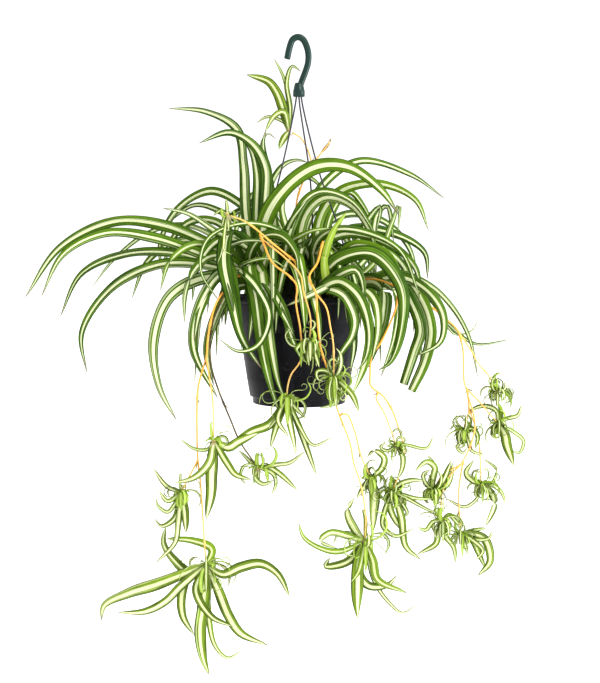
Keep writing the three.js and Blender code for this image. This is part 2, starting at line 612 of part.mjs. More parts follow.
// Lines that the leaves keep clear of: the wires, the runners, and the pot's rim and ears, which
// they pass over
const KEPT_CLEAR = [
  ...EAR_ANGLES.map((_, index) => ({
    points: sampled(wireCurve(index).getSpacedPoints(WIRE_STEPS), 6),
    radius: WIRE_RADIUS,
  })),
  { points: rimRing(), radius: 6, over: true },
  ...EAR_ANGLES.map((angle) => ({ points: earLine(angle), radius: 7, over: true })),
  ...Object.values(RUNNERS).flat().map((strand) => ({
    points: sampled(runnerCurve(strand).getSpacedPoints(strandSteps(strand)), 6),
    radius: RUNNER_RADIUS,
  })),
];

// Width of a blade along its length, as a share of its full width
function bladeShare(share) {
  return (0.4 + 0.6 * Math.sin(Math.min(1, share / 0.4) * Math.PI / 2)) * (1 - share ** 3.5) ** 0.8;
}

// Bends the line of a blade away from every line that it would touch, and over the rim and its ears
function bentClear(line, width, firstFree) {
  const margin = 1.6;
  for (let round = 0; round < 14; round += 1) {
    let moved = false;
    for (const obstacle of KEPT_CLEAR) {
      let worst = { shortfall: 0 };
      for (let index = 0; index + 1 < line.length; index += 1) {
        const span = line[index + 1].clone().sub(line[index]);
        for (const point of obstacle.points) {
          const along = point.clone().sub(line[index]).dot(span) / span.lengthSq();
          const share = THREE.MathUtils.clamp(along, 0, 1);
          const place = index + share;
          if (place < firstFree) continue;
          const nearest = line[index].clone().addScaledVector(span, share);
          const half = 0.5 * width * Math.max(0.3, bladeShare(place / (line.length - 1)));
          const shortfall = half + obstacle.radius + margin - nearest.distanceTo(point);
          if (shortfall > worst.shortfall) {
            worst = { shortfall, place, point, away: nearest.sub(point) };
          }
        }
      }
      if (worst.shortfall <= 0.05) continue;
      moved = true;
      if (obstacle.over) worst.away.copy(worst.point).setZ(0).normalize().setZ(1.6);
      else if (worst.away.length() < 0.5) worst.away.set(0, 1, 0);
      worst.away.normalize();
      for (let index = 1; index < line.length; index += 1) {
        const near = Math.max(0, 1 - Math.abs(index - worst.place) / 1.6);
        line[index].addScaledVector(worst.away, (worst.shortfall + 0.2) * Math.min(1, near * 1.5));
      }
    }
    if (!moved) break;
  }
  return line;
}

// Directions across and out of a blade at each point of its line. The face of a blade that runs
// sideways is rolled towards the front.
function bladeFrames(line, roll) {
  const root = line[0];
  const tip = line[line.length - 1];
  const plan = new THREE.Vector3(tip.x - root.x, tip.y - root.y, 0).normalize();
  const level = new THREE.Vector3().crossVectors(plan, new THREE.Vector3(0, 0, 1));
  const turn = radians(roll) * Math.abs(plan.x) * Math.sign(level.y);
  return line.map((point, index) => {
    const before = line[Math.max(0, index - 1)];
    const after = line[Math.min(line.length - 1, index + 1)];
    const along = after.clone().sub(before).normalize();
    const across = level.clone().addScaledVector(along, -level.dot(along)).normalize();
    const up = new THREE.Vector3().crossVectors(across, along);
    const ramp = turn * Math.min(1, (index / (line.length - 1)) / 0.3);
    return { across: across.applyAxisAngle(along, ramp), up: up.applyAxisAngle(along, ramp) };
  });
}

// Directions across and out of a plantlet's blade, which turn as little as they can from ring to ring
function steadyFrames(line, roll) {
  const run = line[line.length - 1].clone().sub(line[0]).setZ(0).normalize();
  const level = new THREE.Vector3().crossVectors(run, new THREE.Vector3(0, 0, 1));
  const turn = radians(roll) * Math.abs(run.x) * Math.sign(level.y);
  let across = level;
  return line.map((point, index) => {
    const before = line[Math.max(0, index - 1)];
    const after = line[Math.min(line.length - 1, index + 1)];
    const along = after.clone().sub(before).normalize();
    across = across.clone().addScaledVector(along, -along.dot(across)).normalize();
    if (index === 0) across.applyAxisAngle(along, turn);
    return { across, up: new THREE.Vector3().crossVectors(across, along) };
  });
}

// A blade as a closed solid: a shallow V in section, with both faces split into triangles alike
function blade(line, width, { roll, thickness = LEAF_THICKNESS, cut = false, slim = false }) {
  const keel = 0.12;
  const frames = slim ? steadyFrames(line, roll) : bladeFrames(line, roll);
  const last = line.length - 1;
  const rings = cut ? line.length : last;
  const positions = [];
  for (let index = 0; index < rings; index += 1) {
    const { across, up } = frames[index];
    const half = 0.5 * width * (cut ? bladeShare(0.75 * index / last) : bladeShare(index / last));
    const deep = thickness * (1 - 0.4 * index / last);
    const corners = slim
      ? [[-half, 0.5 * deep], [half, 0.5 * deep], [0, -0.5 * deep]]
      : [[-half, keel * width], [0, 0.4 * deep], [half, keel * width], [0, -0.6 * deep]];
    for (const [side, lift] of corners) {
      positions.push(...line[index].clone().addScaledVector(across, side).addScaledVector(up, lift));
    }
  }
  const corners = slim ? 3 : 4;
  const faces = slim ? [0, 2, 1] : [0, 2, 1, 0, 3, 2];
  for (let index = 0; index + 1 < rings; index += 1) {
    const a = corners * index;
    const b = a + corners;
    for (let corner = 0; corner < corners; corner += 1) {
      const next = (corner + 1) % corners;
      const edgeFirst = slim ? corner !== 2 : corner % 2 === 0;
      if (edgeFirst) faces.push(a + corner, a + next, b + next, a + corner, b + next, b + corner);
      else faces.push(a + corner, a + next, b + corner, a + next, b + next, b + corner);
    }
  }
  const end = corners * (rings - 1);
  if (cut) {
    faces.push(end, end + 1, end + 2, end, end + 2, end + 3);
  } else {
    positions.push(...line[last]);
    for (let corner = 0; corner < corners; corner += 1) {
      faces.push(end + corner, end + (corner + 1) % corners, end + corners);
    }
  }
  const geometry = new THREE.BufferGeometry();
  geometry.setAttribute('position', new THREE.BufferAttribute(new Float32Array(positions), 3));
  geometry.setIndex(faces);
  return solidOf(geometry);
}

// The whole line of a long leaf, from the nearest crown to its tip
function leafLine(points, width, random) {
  const distance = (crown) => Math.hypot(crown[0] - points[0][0], crown[1] - points[0][1]);
  const [x, y] = CROWNS.reduce((best, crown) => (distance(crown) < distance(best) ? crown : best));
  const spread = 34;
  const root = [x + spread * (random() - 0.5), y + spread * (random() - 0.5), CROWN_TOP - 8];
  const curve = smooth([root, ...points].map(vec));
  const steps = Math.max(5, Math.round(curve.getLength() / LEAF_STEP));
  return bentClear(curve.getSpacedPoints(steps), width, 1);
}

function backLeaf(index, random) {
  const { count, from, to } = BACK_LEAVES;
  const angle = radians(from + (to - from) * (index + 0.2 + 0.6 * random()) / count);
  const sideways = Math.abs(Math.cos(angle));
  const reach = 130 + 90 * random() + 40 * (1 - sideways);
  const drift = 0.7 * (random() - 0.5);
  const peak = 40 + 110 * random();
  const fall = 90 + 130 * random();
  const centre = CROWNS[2];
  const at = (share, height) => [
    centre[0] + reach * share * Math.cos(angle + drift * share),
    centre[1] + reach * share * Math.sin(angle + drift * share),
    CROWN_TOP + height,
  ];
  return {
    width: 11 + 5 * random(),
    points: [
      at(0.3, 0.8 * peak + 12), at(0.62, peak + 14), at(0.9, peak - 0.35 * fall), at(1, peak - fall),
    ],
  };
}

function clump() {
  const random = randomNumbers(BACK_LEAVES.seed);
  const { radius, depth } = CROWN_HOLE;
  const base = SOIL_TOP - depth + GAP;
  const crown = turned([
    [0, base], [radius - GAP, base], [radius - GAP, SOIL_TOP + 2], [radius - 3, CROWN_TOP],
    [radius - 8, CROWN_TOP + 20], [34, CROWN_TOP + 40], [0, CROWN_TOP + 50],
  ], POT_SIDES);
  const solids = [solidOf(crown)];
  for (const [width, ...points] of LEAVES) {
    solids.push(blade(leafLine(points, width, random), width, { roll: 58 }));
  }
  for (const [width, ...points] of CUT_LEAVES) {
    solids.push(blade(leafLine(points, width, random), width, { roll: 40, cut: true }));
  }
  for (let index = 0; index < BACK_LEAVES.count; index += 1) {
    const { width, points } = backLeaf(index, random);
    solids.push(blade(leafLine(points, width, random), width, { roll: 30 }));
  }
  for (const strands of Object.values(RUNNERS)) solids.push(runnerStub(strands[0]));
  return geometryOf(joined(solids));
}

// The start of a runner, which grows from the clump as part of it
function runnerStub(strand) {
  const curve = runnerCurve(strand);
  const start = curve.getPoint(0);
  const back = curve.getTangent(0).negate();
  const end = start.clone().addScaledVector(back, 2 * GAP);
  const before = end.clone().addScaledVector(back, 8);
  const foot = new THREE.Vector3(0.3 * start.x, 0.2 * start.y, 0).clampLength(0, 48);
  foot.z = CROWN_TOP - 6;
  const middle = foot.clone().lerp(before, 0.55);
  middle.z = Math.max(middle.z, RIM.top + 26);
  return solidOf(tube(smooth([foot, middle, before, end]), RUNNER_RADIUS, RUNNER_SIDES, 7));
}

function runner(strands) {
  const parts = strands.map((strand, index) => {
    const curve = index === 0 ? runnerCurve(strand) : branchCurve(strand, strands.slice(0, index));
    return solidOf(tube(curve, RUNNER_RADIUS, RUNNER_SIDES, strandSteps(strand)));
  });
  return geometryOf(joined(parts));
}

// The line of a plantlet's leaf through its known points
function routedLine(base, points) {
  const curve = smooth([base, ...points.map(vec)]);
  const steps = THREE.MathUtils.clamp(Math.round(curve.getLength() / PLANTLET_STEP), 3, 5);
  return curve.getSpacedPoints(steps);
}

// A leaf of a plantlet that curls over more and more towards its tip
function curledLine(base, index, reach, random) {
  const around = index * 2.4 + 0.6 * random();
  const lift = 0.9 - 1.5 * random();
  const bend = (2 + 3 * random()) * (random() < 0.3 ? -1 : 1);
  const length = reach * (1.1 + 0.9 * random());
  const steps = 4;
  const points = [base.clone()];
  for (let step = 1; step <= steps; step += 1) {
    const heading = lift - bend * ((step - 0.5) / steps) ** 1.5;
    const flat = Math.cos(heading);
    const next = new THREE.Vector3(flat * Math.cos(around), flat * Math.sin(around), Math.sin(heading));
    points.push(points[step - 1].clone().addScaledVector(next, length / steps));
  }
  return points;
}

// A young plant: leaves around a knob that turns one corner to its runner
function plantlet(name, seed) {
  const { base, leaves, curls, reach } = PLANTLETS[name];
  const [, ...points] = Object.values(RUNNERS).flat().find(([carried]) => carried === name);
  const random = randomNumbers(seed);
  const centre = vec(base);
  const knob = new THREE.IcosahedronGeometry(PLANTLET_KNOB, 0);
  const corner = new THREE.Vector3().fromBufferAttribute(knob.attributes.position, 0).normalize();
  knob.applyQuaternion(new THREE.Quaternion().setFromUnitVectors(corner, towardsRunner(name, points)));
  knob.translate(...base);
  const solids = [solidOf(knob)];
  const options = { thickness: 1.4, slim: true, roll: 50 };
  for (const [width, ...route] of leaves) {
    solids.push(blade(bentClear(routedLine(centre, route), width, 0.3), width, options));
  }
  for (let index = 0; index < curls; index += 1) {
    const width = 4 + 2 * random();
    const line = bentClear(curledLine(centre, index, reach, random), width, 0.3);
    solids.push(blade(line, width, options));
  }
  return geometryOf(joined(solids));
}

const plant = new THREE.Group();

function place(name, geometry, material) {
  const mesh = new THREE.Mesh(geometry, material);
  mesh.name = name;
  plant.add(mesh);
}

place('hook', hook(), HOOK_GREEN);
EAR_ANGLES.forEach((_, index) => {
  place(`hanger_wire_${index + 1}`, tube(wireCurve(index), WIRE_RADIUS, 6, WIRE_STEPS), WIRE_GREY);
});
place('pot', pot(), POT_BLACK);
place('soil', soil(), SOIL_BROWN);
place('mother_plant', clump(), LEAF_GREEN);
for (const [name, strands] of Object.entries(RUNNERS)) {
  place(name, runner(strands), name === 'runner_brown' ? RUNNER_BROWN : RUNNER_ORANGE);
}
Object.keys(PLANTLETS).forEach((name, index) => {
  place(name, plantlet(name, 1000 + 43 * index), YOUNG_GREEN);
});

export default plant;
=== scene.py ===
# The looks of a hanging potted spider plant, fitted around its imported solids: fine striped blades in
# place of the solids' plain ones, tapered runners with their joints and bracts, young plants with
# roots, and the moulded hook, wires and pot with their wear.
#
# Lengths are in millimetres, as in the part's source, and MM turns them into metres. Only the camera,
# the lights and the floor are placed in metres.

import math

import bpy
import numpy as np
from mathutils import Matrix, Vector


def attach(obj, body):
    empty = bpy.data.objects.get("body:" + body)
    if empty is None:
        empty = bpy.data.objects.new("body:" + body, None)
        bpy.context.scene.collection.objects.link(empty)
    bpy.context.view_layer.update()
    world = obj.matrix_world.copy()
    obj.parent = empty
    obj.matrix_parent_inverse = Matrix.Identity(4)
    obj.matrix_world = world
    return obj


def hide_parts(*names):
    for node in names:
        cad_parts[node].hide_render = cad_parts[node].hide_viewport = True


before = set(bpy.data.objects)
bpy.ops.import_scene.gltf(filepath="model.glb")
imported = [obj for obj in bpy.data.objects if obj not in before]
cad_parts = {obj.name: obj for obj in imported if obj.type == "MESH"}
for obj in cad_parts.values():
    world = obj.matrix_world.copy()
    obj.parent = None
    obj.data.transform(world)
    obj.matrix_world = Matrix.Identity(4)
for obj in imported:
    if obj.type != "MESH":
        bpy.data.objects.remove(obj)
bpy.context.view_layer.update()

MM = 0.001
UP = np.array([0.0, 0.0, 1.0])
TO_VIEWER = np.array([0.0, -1.0, 0.0])

# Driving dimensions, as in the part's source
GAP = 0.3
HOOK_BAR = {"width": 11, "depth": 9, "bevel": 2.5}
HOOK_COLLAR = {"radius": 8.5, "top": -60, "bottom": -80}
SOCKET_DEPTH = 8
WIRE_RADIUS = 1.2
WIRE_STEPS = 17
RIM = {"radius": 94, "top": -368, "lip": 9, "flange": 3.5}
POT_WALL = 2
POT_BOTTOM = {"z": -526, "radius": 72.5, "foot": 67, "step": 11}
EAR = {"width": 13, "thickness": 3, "reach": 13, "drop": 3, "hole": 3, "eye": 103.5}
EAR_ANGLES = [56, 176, 296]  # degrees from the front, towards +X
SOIL_TOP = -386
CROWN_HOLE = {"radius": 56, "depth": 18}
CROWN_TOP = -372
LEAF_STEP = 60
RUNNER_RADIUS = 1.4
RUNNER_STEP = 30
PLANTLET_STEP = 25
PLANTLET_KNOB = 5
STUB_ROOT = 48  # how far from the pot's axis a runner may root in the crown
STUB_RISE = 26  # least height over the pot's rim in the middle of a runner's start
STUB_LEAD = 8  # straight end of that start, in line with the runner

# How wide a blade is along its length, as shares of its full width and of its length
BLADE_BASE = 0.4
BLADE_FULL_FROM = 0.4
BLADE_POINTED = (3.5, 0.8)  # powers that shape the tip

# How the solids' leaves keep clear of the wires, the runners and the pot's rim and ears
CLEAR_SPACING = 6  # between the points of a line that is kept clear
RIM_ROOM = 6
EAR_ROOM = 7
BLADE_MARGIN = 1.6
NARROWEST = 0.3  # least width that is kept clear, as a share of the blade's
TOUCH = 0.05  # a shortfall that is left as it is
NO_SIDE = 0.5  # nearer than this, a blade is pushed straight back
EXTRA_PUSH = 0.2
BEND_ROUNDS = 14
BEND_SPANS = 1.6  # spans of a leaf over which a bend fades
BEND_PLATEAU = 1.5  # above 1, the neighbours of a bend's middle move by the whole push too
RISE_OVER_RIM = 1.6  # for each step outwards

# Seeds of the random numbers, besides that of the clump's back. A runner's grows with the letters of
# its name, and a plantlet's with its place in the list, as in the part's source.
SEEDS = {
    "soil": 17, "inner_leaves": 5003, "clump_looks": 4021, "runner": 900, "runner_letter": 7,
    "plantlet": 1000, "plantlet_step": 43, "plantlet_looks": 9000, "plantlet_extras": 700,
}

# Dimensions of the finer pieces
ROUND_SIDES = 120  # corners round the pot and the soil
COLLAR_SIDES = 72  # the same round the hook's collar and the root crown
EAR_SIDES = 40
HOOK_SPANS = 72  # along the hook's bar
WIRE_SPANS = 90  # along a wire
BLADE_RING = 6  # length of a long leaf's blade between two rings
PLANTLET_RING = 3  # the same in the plantlets' blades
BLADE_POINTS = 9  # points across a face
BLADE_THICKNESS = 0.7
THINNEST_HALF = 0.12  # half the width that a blade keeps at its tip
GUTTER = 1.4  # power of the blade's section, which is a V at 1 and a U above
CUT_AT = 0.75  # share of a whole blade's form at which a cut one ends
EDGE_WAVE = 0.04  # height of the waves along a blade, as a share of its width
WIDTH_WAVE = 17  # length of blade in which the wave of its width turns by one radian
RIPPLE_WAVE = 11  # the same for the ripple of its edges
RIPPLE_LAG = 1.9  # radians by which it runs ahead at one edge and behind at the other
ROLLED_FROM = 0.3  # share of a blade's length from which it has its whole roll
FACING_FROM = 0.2  # the same for its turn towards the front
BLADES_BROADER = {"long": 1.15, "front": 1.35, "cut": 1.25, "plantlet": 1.35}  # than the solids' blades
FRONT_FROM = -85  # the depth from which a leaf's tip counts as in front of the pot
LEAF_TURN = 2.4  # radians round a base from one leaf to the next
LEAF_SPREAD = 17  # how far a leaf may start from the middle of its crown, either way
INNER_LEAVES = 70  # short leaves that close the clump
CROWN_SHEATHS = 70  # short leaf bases on the crowns
KNOB_SHEATHS = 6  # short bright leaf bases round a plantlet's knob
KNOB_ROOTS = 6
EXTRA_REACH = 1.3  # of a plantlet's further curled leaves, as a share of its reach
PERLITE_GRAINS = 260
JOINT_SPACING = 105  # between the joints of a runner
JOINT_LENGTH = 4  # over which a runner swells at a joint
JOINT_SWELL = 0.45  # of its radius
BRANCH_STOUT = 0.88  # radius of a branch, as a share of its parent's
COIL_POINTS = 6  # on the ring at the end of a narrow leaf
COIL_TURN = 0.95  # radians from one of them to the next
COIL_SHRINK = 0.07  # of the ring's radius at each
COIL_DEPTH = 1.2  # from one to the next, so that the ring stays open

# The floor and the camera, in metres unless another unit is named
FLOOR_Z = -1.25
FLOOR_SIZE = 60
CAMERA_TARGET = (0.0015, 0.0, -0.4363)
CAMERA_DISTANCE = 2.2
CAMERA_ELEVATION = 4.4  # degrees
FOCAL_PIXELS = 1496.6  # focal length in pixels of the photo
IMAGE_HEIGHT = 683  # pixels
SENSOR = 36.0  # millimetres

# The hook's centre line, from its tip to the collar
HOOK_LINE = [
    [-17, 0, -25], [-13.5, 0, -9], [-9, 0, 2], [-1.5, 0, 5.6], [5.5, 0, 2.5], [10.8, 0, -7],
    [13.6, 0, -19], [13, 0, -32], [9, 0, -45], [4, 0, -58], [1, 0, -68], [0, 0, -74],
]

# Wires between the hook and the pot's ears
WIRE_MIDDLES = [
    [[30, -20, -192], [54, -36, -261]],
    [[17, 40, -202], [19, 70, -284]],
    [[-34, -16, -218], [-60, -28, -293]],
]

# Where the leaves spring from, in the middle of the pot
CROWNS = [[-38, -12], [30, -16], [0, 30]]

# Long leaves of the clump: width, then the points that the blade passes on its way to the tip
LEAVES = [
    # upright leaves that rise past the wires on the left
    [15, [-77, -15, -251], [-81, -10, -179], [-91, -5, -127], [-135, 0, -102], [-191, 5, -96]],
    [17, [-53, -30, -251], [-50, -30, -184], [-67, -32, -151], [-99, -36, -134], [-143, -40, -149]],
    [10, [-39, -18, -237], [-51, -12, -179], [-54, -10, -147], [-45, -10, -133], [-33, -12, -142]],
    [12, [-48, 4, -247], [-39, 6, -203], [-22, 8, -178], [-3, 8, -171], [15, 6, -175]],
    # high arches to the right
    [18, [-50, -52, -267], [-21, -72, -216], [23, -84, -185], [69, -90, -185], [115, -94, -217],
        [140, -94, -252]],
    [12, [2, 40, -266], [34, 50, -205], [91, 62, -170], [169, 80, -190], [222, 90, -226]],
    [14, [28, -10, -266], [59, -22, -218], [116, -34, -207], [166, -46, -230], [185, -54, -274]],
    [12, [-16, -58, -287], [10, -66, -230], [34, -72, -218], [75, -80, -233], [111, -84, -284]],
    [12, [46, 22, -255], [74, 28, -217], [96, 34, -239], [113, 36, -277]],
    [14, [38, 12, -302], [71, 16, -274], [132, 30, -276], [187, 44, -306], [193, 50, -348]],
    [14, [27, -48, -301], [66, -56, -278], [131, -62, -295], [166, -66, -329], [171, -66, -376]],
    [11, [77, -4, -309], [103, -6, -255], [118, -8, -239], [113, -18, -273]],
    [11, [102, 18, -310], [115, 18, -251], [129, 14, -238], [139, 2, -292]],
    [9, [111, -14, -319], [134, -16, -266], [145, -18, -237], [143, -26, -276]],
    [14, [2, -30, -304], [10, -42, -251], [37, -52, -227], [75, -58, -239], [105, -62, -287],
        [110, -62, -337]],
    [12, [-13, 32, -288], [-24, 38, -236], [-12, 40, -202], [16, 42, -196], [43, 44, -222]],
    [14, [55, -72, -318], [80, -92, -295], [122, -100, -309], [144, -104, -353], [155, -104, -398]],
    [11, [17, 62, -291], [70, 86, -250], [132, 110, -261], [172, 130, -304], [186, 140, -367]],
    [12, [64, 22, -305], [106, 40, -295], [152, 60, -321], [176, 72, -376], [173, 76, -432]],
    # arches to the left
    [12, [-65, -12, -261], [-86, -6, -235], [-129, 6, -216], [-179, 24, -242], [-207, 38, -295],
        [-203, 44, -343]],
    [10, [-75, 20, -276], [-116, 36, -246], [-157, 56, -236], [-203, 76, -265]],
    [9, [-70, -62, -301], [-118, -78, -274], [-155, -92, -250], [-191, -100, -242]],
    [15, [-77, -22, -322], [-127, -30, -294], [-192, -42, -267], [-262, -58, -261], [-338, -74, -298],
        [-388, -82, -370]],
    [12, [-84, -52, -330], [-138, -66, -307], [-202, -84, -284], [-270, -104, -277],
        [-326, -120, -306], [-357, -126, -366]],
    [13, [-79, 8, -337], [-121, 14, -323], [-184, 26, -307], [-260, 42, -309], [-327, 54, -339],
        [-361, 60, -405]],
    [14, [-81, -32, -340], [-143, -30, -322], [-204, -24, -323], [-272, -16, -356], [-318, -8, -423],
        [-311, -6, -485]],
    [8, [-90, 30, -310], [-163, 50, -267], [-222, 70, -275], [-280, 88, -316], [-319, 98, -363]],
    [14, [-80, -58, -344], [-133, -76, -340], [-181, -94, -366], [-203, -106, -426],
        [-196, -110, -490], [-171, -110, -540]],
    [14, [-64, -46, -301], [-87, -62, -281], [-119, -72, -291], [-143, -78, -326], [-151, -80, -374]],
    [12, [-83, 2, -298], [-122, 16, -261], [-161, 30, -261], [-192, 42, -292], [-204, 50, -340]],
    [12, [-91, 32, -323], [-141, 54, -292], [-187, 74, -291], [-232, 94, -322], [-258, 106, -380]],
    [13, [-75, -62, -349], [-100, -84, -357], [-119, -96, -392], [-128, -98, -441], [-117, -96, -492]],
    # leaves that fall over the front of the pot
    [13, [-72, -72, -339], [-107, -92, -333], [-138, -110, -377], [-148, -116, -439], [-115, -110, -510]],
    [6, [9, -66, -327], [-22, -84, -277], [-75, -98, -263], [-126, -108, -284], [-137, -112, -328],
        [-107, -112, -379]],
    [17, [-84, -62, -290], [-100, -86, -281], [-104, -108, -317], [-91, -120, -376],
        [-79, -120, -422], [-52, -112, -466]],
    [9, [-83, -88, -329], [-60, -114, -350], [-41, -122, -391], [-57, -124, -432], [-84, -126, -440],
        [-112, -128, -422]],
    [13, [-61, -72, -321], [-43, -104, -348], [-21, -112, -385], [-11, -106, -420], [6, -98, -459]],
    [15, [-69, -90, -323], [-60, -112, -367], [-52, -106, -433], [-42, -100, -483], [-27, -92, -533]],
    [12, [-52, -92, -331], [-44, -110, -381], [-39, -104, -433], [-28, -96, -490], [-17, -92, -516]],
    [12, [-70, -62, -311], [-50, -88, -282], [-25, -102, -281], [-4, -110, -307], [-1, -112, -342]],
    [17, [27, -62, -355], [55, -92, -315], [103, -112, -306], [141, -120, -350], [143, -122, -404],
        [127, -120, -456], [109, -118, -468]],
    [14, [33, -82, -360], [57, -106, -337], [79, -118, -329], [89, -116, -353], [85, -112, -378]],
    [13, [30, -92, -362], [56, -116, -349], [82, -126, -366], [97, -126, -411], [93, -122, -449],
        [81, -118, -468]],
    [12, [49, -94, -348], [29, -108, -357], [6, -114, -368], [-18, -114, -378]],
    [12, [37, -94, -368], [61, -112, -373], [77, -116, -397], [74, -114, -420], [59, -110, -444],
        [49, -106, -472]],
    # leaves that fall to the right of the pot
    [19, [90, -62, -351], [112, -76, -363], [117, -82, -391], [110, -86, -425], [98, -88, -467]],
    [12, [137, -60, -339], [179, -74, -356], [203, -86, -392], [199, -90, -430], [164, -88, -451]],
    [9, [132, 24, -335], [191, 34, -353], [229, 44, -388], [256, 50, -435], [270, 52, -497]],
    [8, [181, 40, -365], [227, 56, -416], [267, 66, -445], [324, 80, -439]],
    [6, [198, 62, -381], [237, 78, -431], [263, 86, -427], [278, 92, -403]],
]

# Leaves that end in a straight cut instead of a tip
CUT_LEAVES = [
    [15, [138, -42, -353], [162, -46, -380], [174, -50, -416], [165, -52, -447], [150, -52, -494]],
    [15, [147, -22, -339], [178, -26, -374], [191, -30, -417], [183, -32, -461], [163, -32, -506]],
    [18, [38, -78, -366], [35, -84, -318], [45, -88, -280], [66, -90, -247]],
]

# More leaves that fill the clump: two upright ones, then those that fall in front of the rim
FRONT_LEAVES = [
    [16, [-61, -28, -262], [-61, -26, -190], [-72, -28, -152], [-98, -32, -128]],
    [16, [-40, -20, -262], [-45, -14, -195], [-52, -11, -150], [-48, -11, -127]],
    [20, [-103, -70, -318], [-95, -104, -337], [-88, -114, -370], [-83, -114, -400], [-77, -112, -428]],
    [17, [-104, -66, -324], [-125, -98, -354], [-139, -112, -391], [-146, -114, -428]],
    [18, [-84, -70, -335], [-60, -102, -353], [-44, -114, -386], [-46, -116, -428]],
    [17, [-61, -72, -338], [-40, -104, -365], [-21, -114, -392], [-7, -112, -420]],
    [8, [-84, -60, -330], [-66, -92, -316], [-40, -104, -313], [-15, -104, -328]],
    [11, [-104, -60, -304], [-83, -92, -289], [-51, -102, -288], [-31, -104, -295]],
    [13, [-21, -50, -287], [-11, -70, -261], [0, -84, -245], [13, -88, -228]],
    [12, [-13, -50, -293], [2, -74, -281], [21, -90, -273], [46, -92, -270]],
    [19, [55, -72, -358], [83, -100, -379], [98, -108, -417], [91, -110, -462], [74, -108, -505]],
    [16, [53, -66, -372], [69, -96, -393], [77, -106, -432], [72, -106, -471]],
    [17, [73, -64, -349], [105, -96, -368], [112, -104, -409], [104, -104, -454]],
    [13, [110, -56, -347], [137, -88, -365], [134, -96, -418], [115, -98, -480]],
    [12, [27, -60, -287], [65, -90, -271], [138, -104, -298], [169, -104, -365]],
    [18, [44, -60, -332], [83, -92, -306], [119, -106, -317], [146, -108, -353]],
    [14, [10, -72, -338], [18, -104, -359], [27, -112, -395], [31, -112, -434]],
    [16, [-72, -64, -318], [-69, -96, -348], [-65, -108, -387], [-70, -110, -429]],
    [15, [-121, -60, -312], [-145, -88, -326], [-158, -104, -359], [-160, -108, -403]],
    [14, [-124, -50, -298], [-154, -76, -295], [-181, -92, -317], [-195, -96, -359]],
]

# Leaves at the back, spread evenly over these plan angles (degrees from +X towards +Y)
BACK_LEAVES = {"count": 17, "from": 14, "to": 166, "seed": 71}

# Runners: each strand names the plantlet that it carries, then the points on the way down to it
RUNNERS = {
    "runner_centre_left": [
        ["plantlet_under_pot", [-51, -112, -286], [-37, -122, -317], [-12, -130, -337], [-3, -132, -349],
            [-4, -132, -373], [2, -132, -410], [3, -130, -451], [-11, -126, -473], [-16, -121, -492]],
        ["plantlet_centre", [-51, -112, -286], [-19, -124, -311], [2, -136, -334], [6, -140, -355],
            [16, -144, -394]],
    ],
    "runner_centre_right": [
        ["plantlet_right_low", [32, -100, -295], [26, -118, -317], [14, -146, -338], [23, -150, -358],
            [25, -150, -386], [29, -148, -430], [40, -138, -467], [53, -118, -520], [72, -110, -572],
            [77, -110, -599], [86, -110, -626], [94, -110, -674]],
        ["plantlet_pot", [23, -150, -358], [37, -152, -377], [43, -152, -405], [47, -151, -428]],
        ["plantlet_right_inner", [53, -118, -520], [66, -116, -529], [78, -100, -554], [88, -92, -592]],
    ],
    "runner_left": [
        ["plantlet_left_low", [-94, -100, -345], [-115, -116, -374], [-126, -118, -418], [-129, -118, -450],
            [-135, -116, -469], [-141, -114, -494], [-143, -110, -561], [-142, -108, -595],
            [-139, -106, -625], [-136, -104, -674]],
        ["plantlet_left_middle", [-142, -108, -595], [-152, -111, -614]],
        ["plantlet_left_upper", [-129, -118, -450], [-125, -122, -474], [-120, -124, -508]],
    ],
    "runner_brown": [
        ["plantlet_brown", [-100, -78, -352], [-122, -98, -406], [-124, -98, -458], [-115, -96, -493],
            [-96, -92, -542], [-84, -90, -571]],
    ],
    "runner_right": [
        ["plantlet_right_stem", [139, -96, -365], [135, -100, -384], [117, -100, -426], [102, -104, -450],
            [100, -104, -473], [101, -104, -491], [118, -104, -505], [131, -104, -525],
            [141, -102, -553], [148, -100, -578], [147, -98, -605]],
        ["plantlet_right_upper", [101, -104, -491], [108, -112, -507], [120, -118, -529]],
    ],
    "runner_far_right": [
        ["plantlet_far_upper", [190, 8, -382], [221, 8, -407], [234, 8, -421], [242, 8, -449],
            [244, 8, -495], [248, 6, -510], [251, 2, -539]],
        ["plantlet_far_ball", [234, 8, -421], [254, 10, -450], [265, 12, -469], [281, 14, -488]],
        ["plantlet_far_outer", [248, 6, -510], [272, 14, -532]],
        ["plantlet_far_low", [248, 6, -510], [258, -14, -560], [240, -24, -610], [216, -20, -639],
            [209, -20, -670]],
        ["plantlet_far_stem", [251, 2, -539], [266, 10, -580]],
        ["plantlet_far_inner", [240, -24, -610], [210, -20, -632]],
        ["plantlet_far_tail", [240, -24, -610], [236, -6, -660]],
    ],
    "runner_top": [
        ["plantlet_top", [2, 52, -288], [-4, 52, -236], [4, 50, -206], [18, 50, -176], [13, 48, -154],
            [2, 42, -136]],
        ["", [18, 50, -176], [28, 50, -165], [46, 50, -142]],
    ],
    "runner_pale": [
        ["plantlet_pale", [-12, -106, -311], [-34, -118, -293], [-72, -124, -262]],
    ],
}

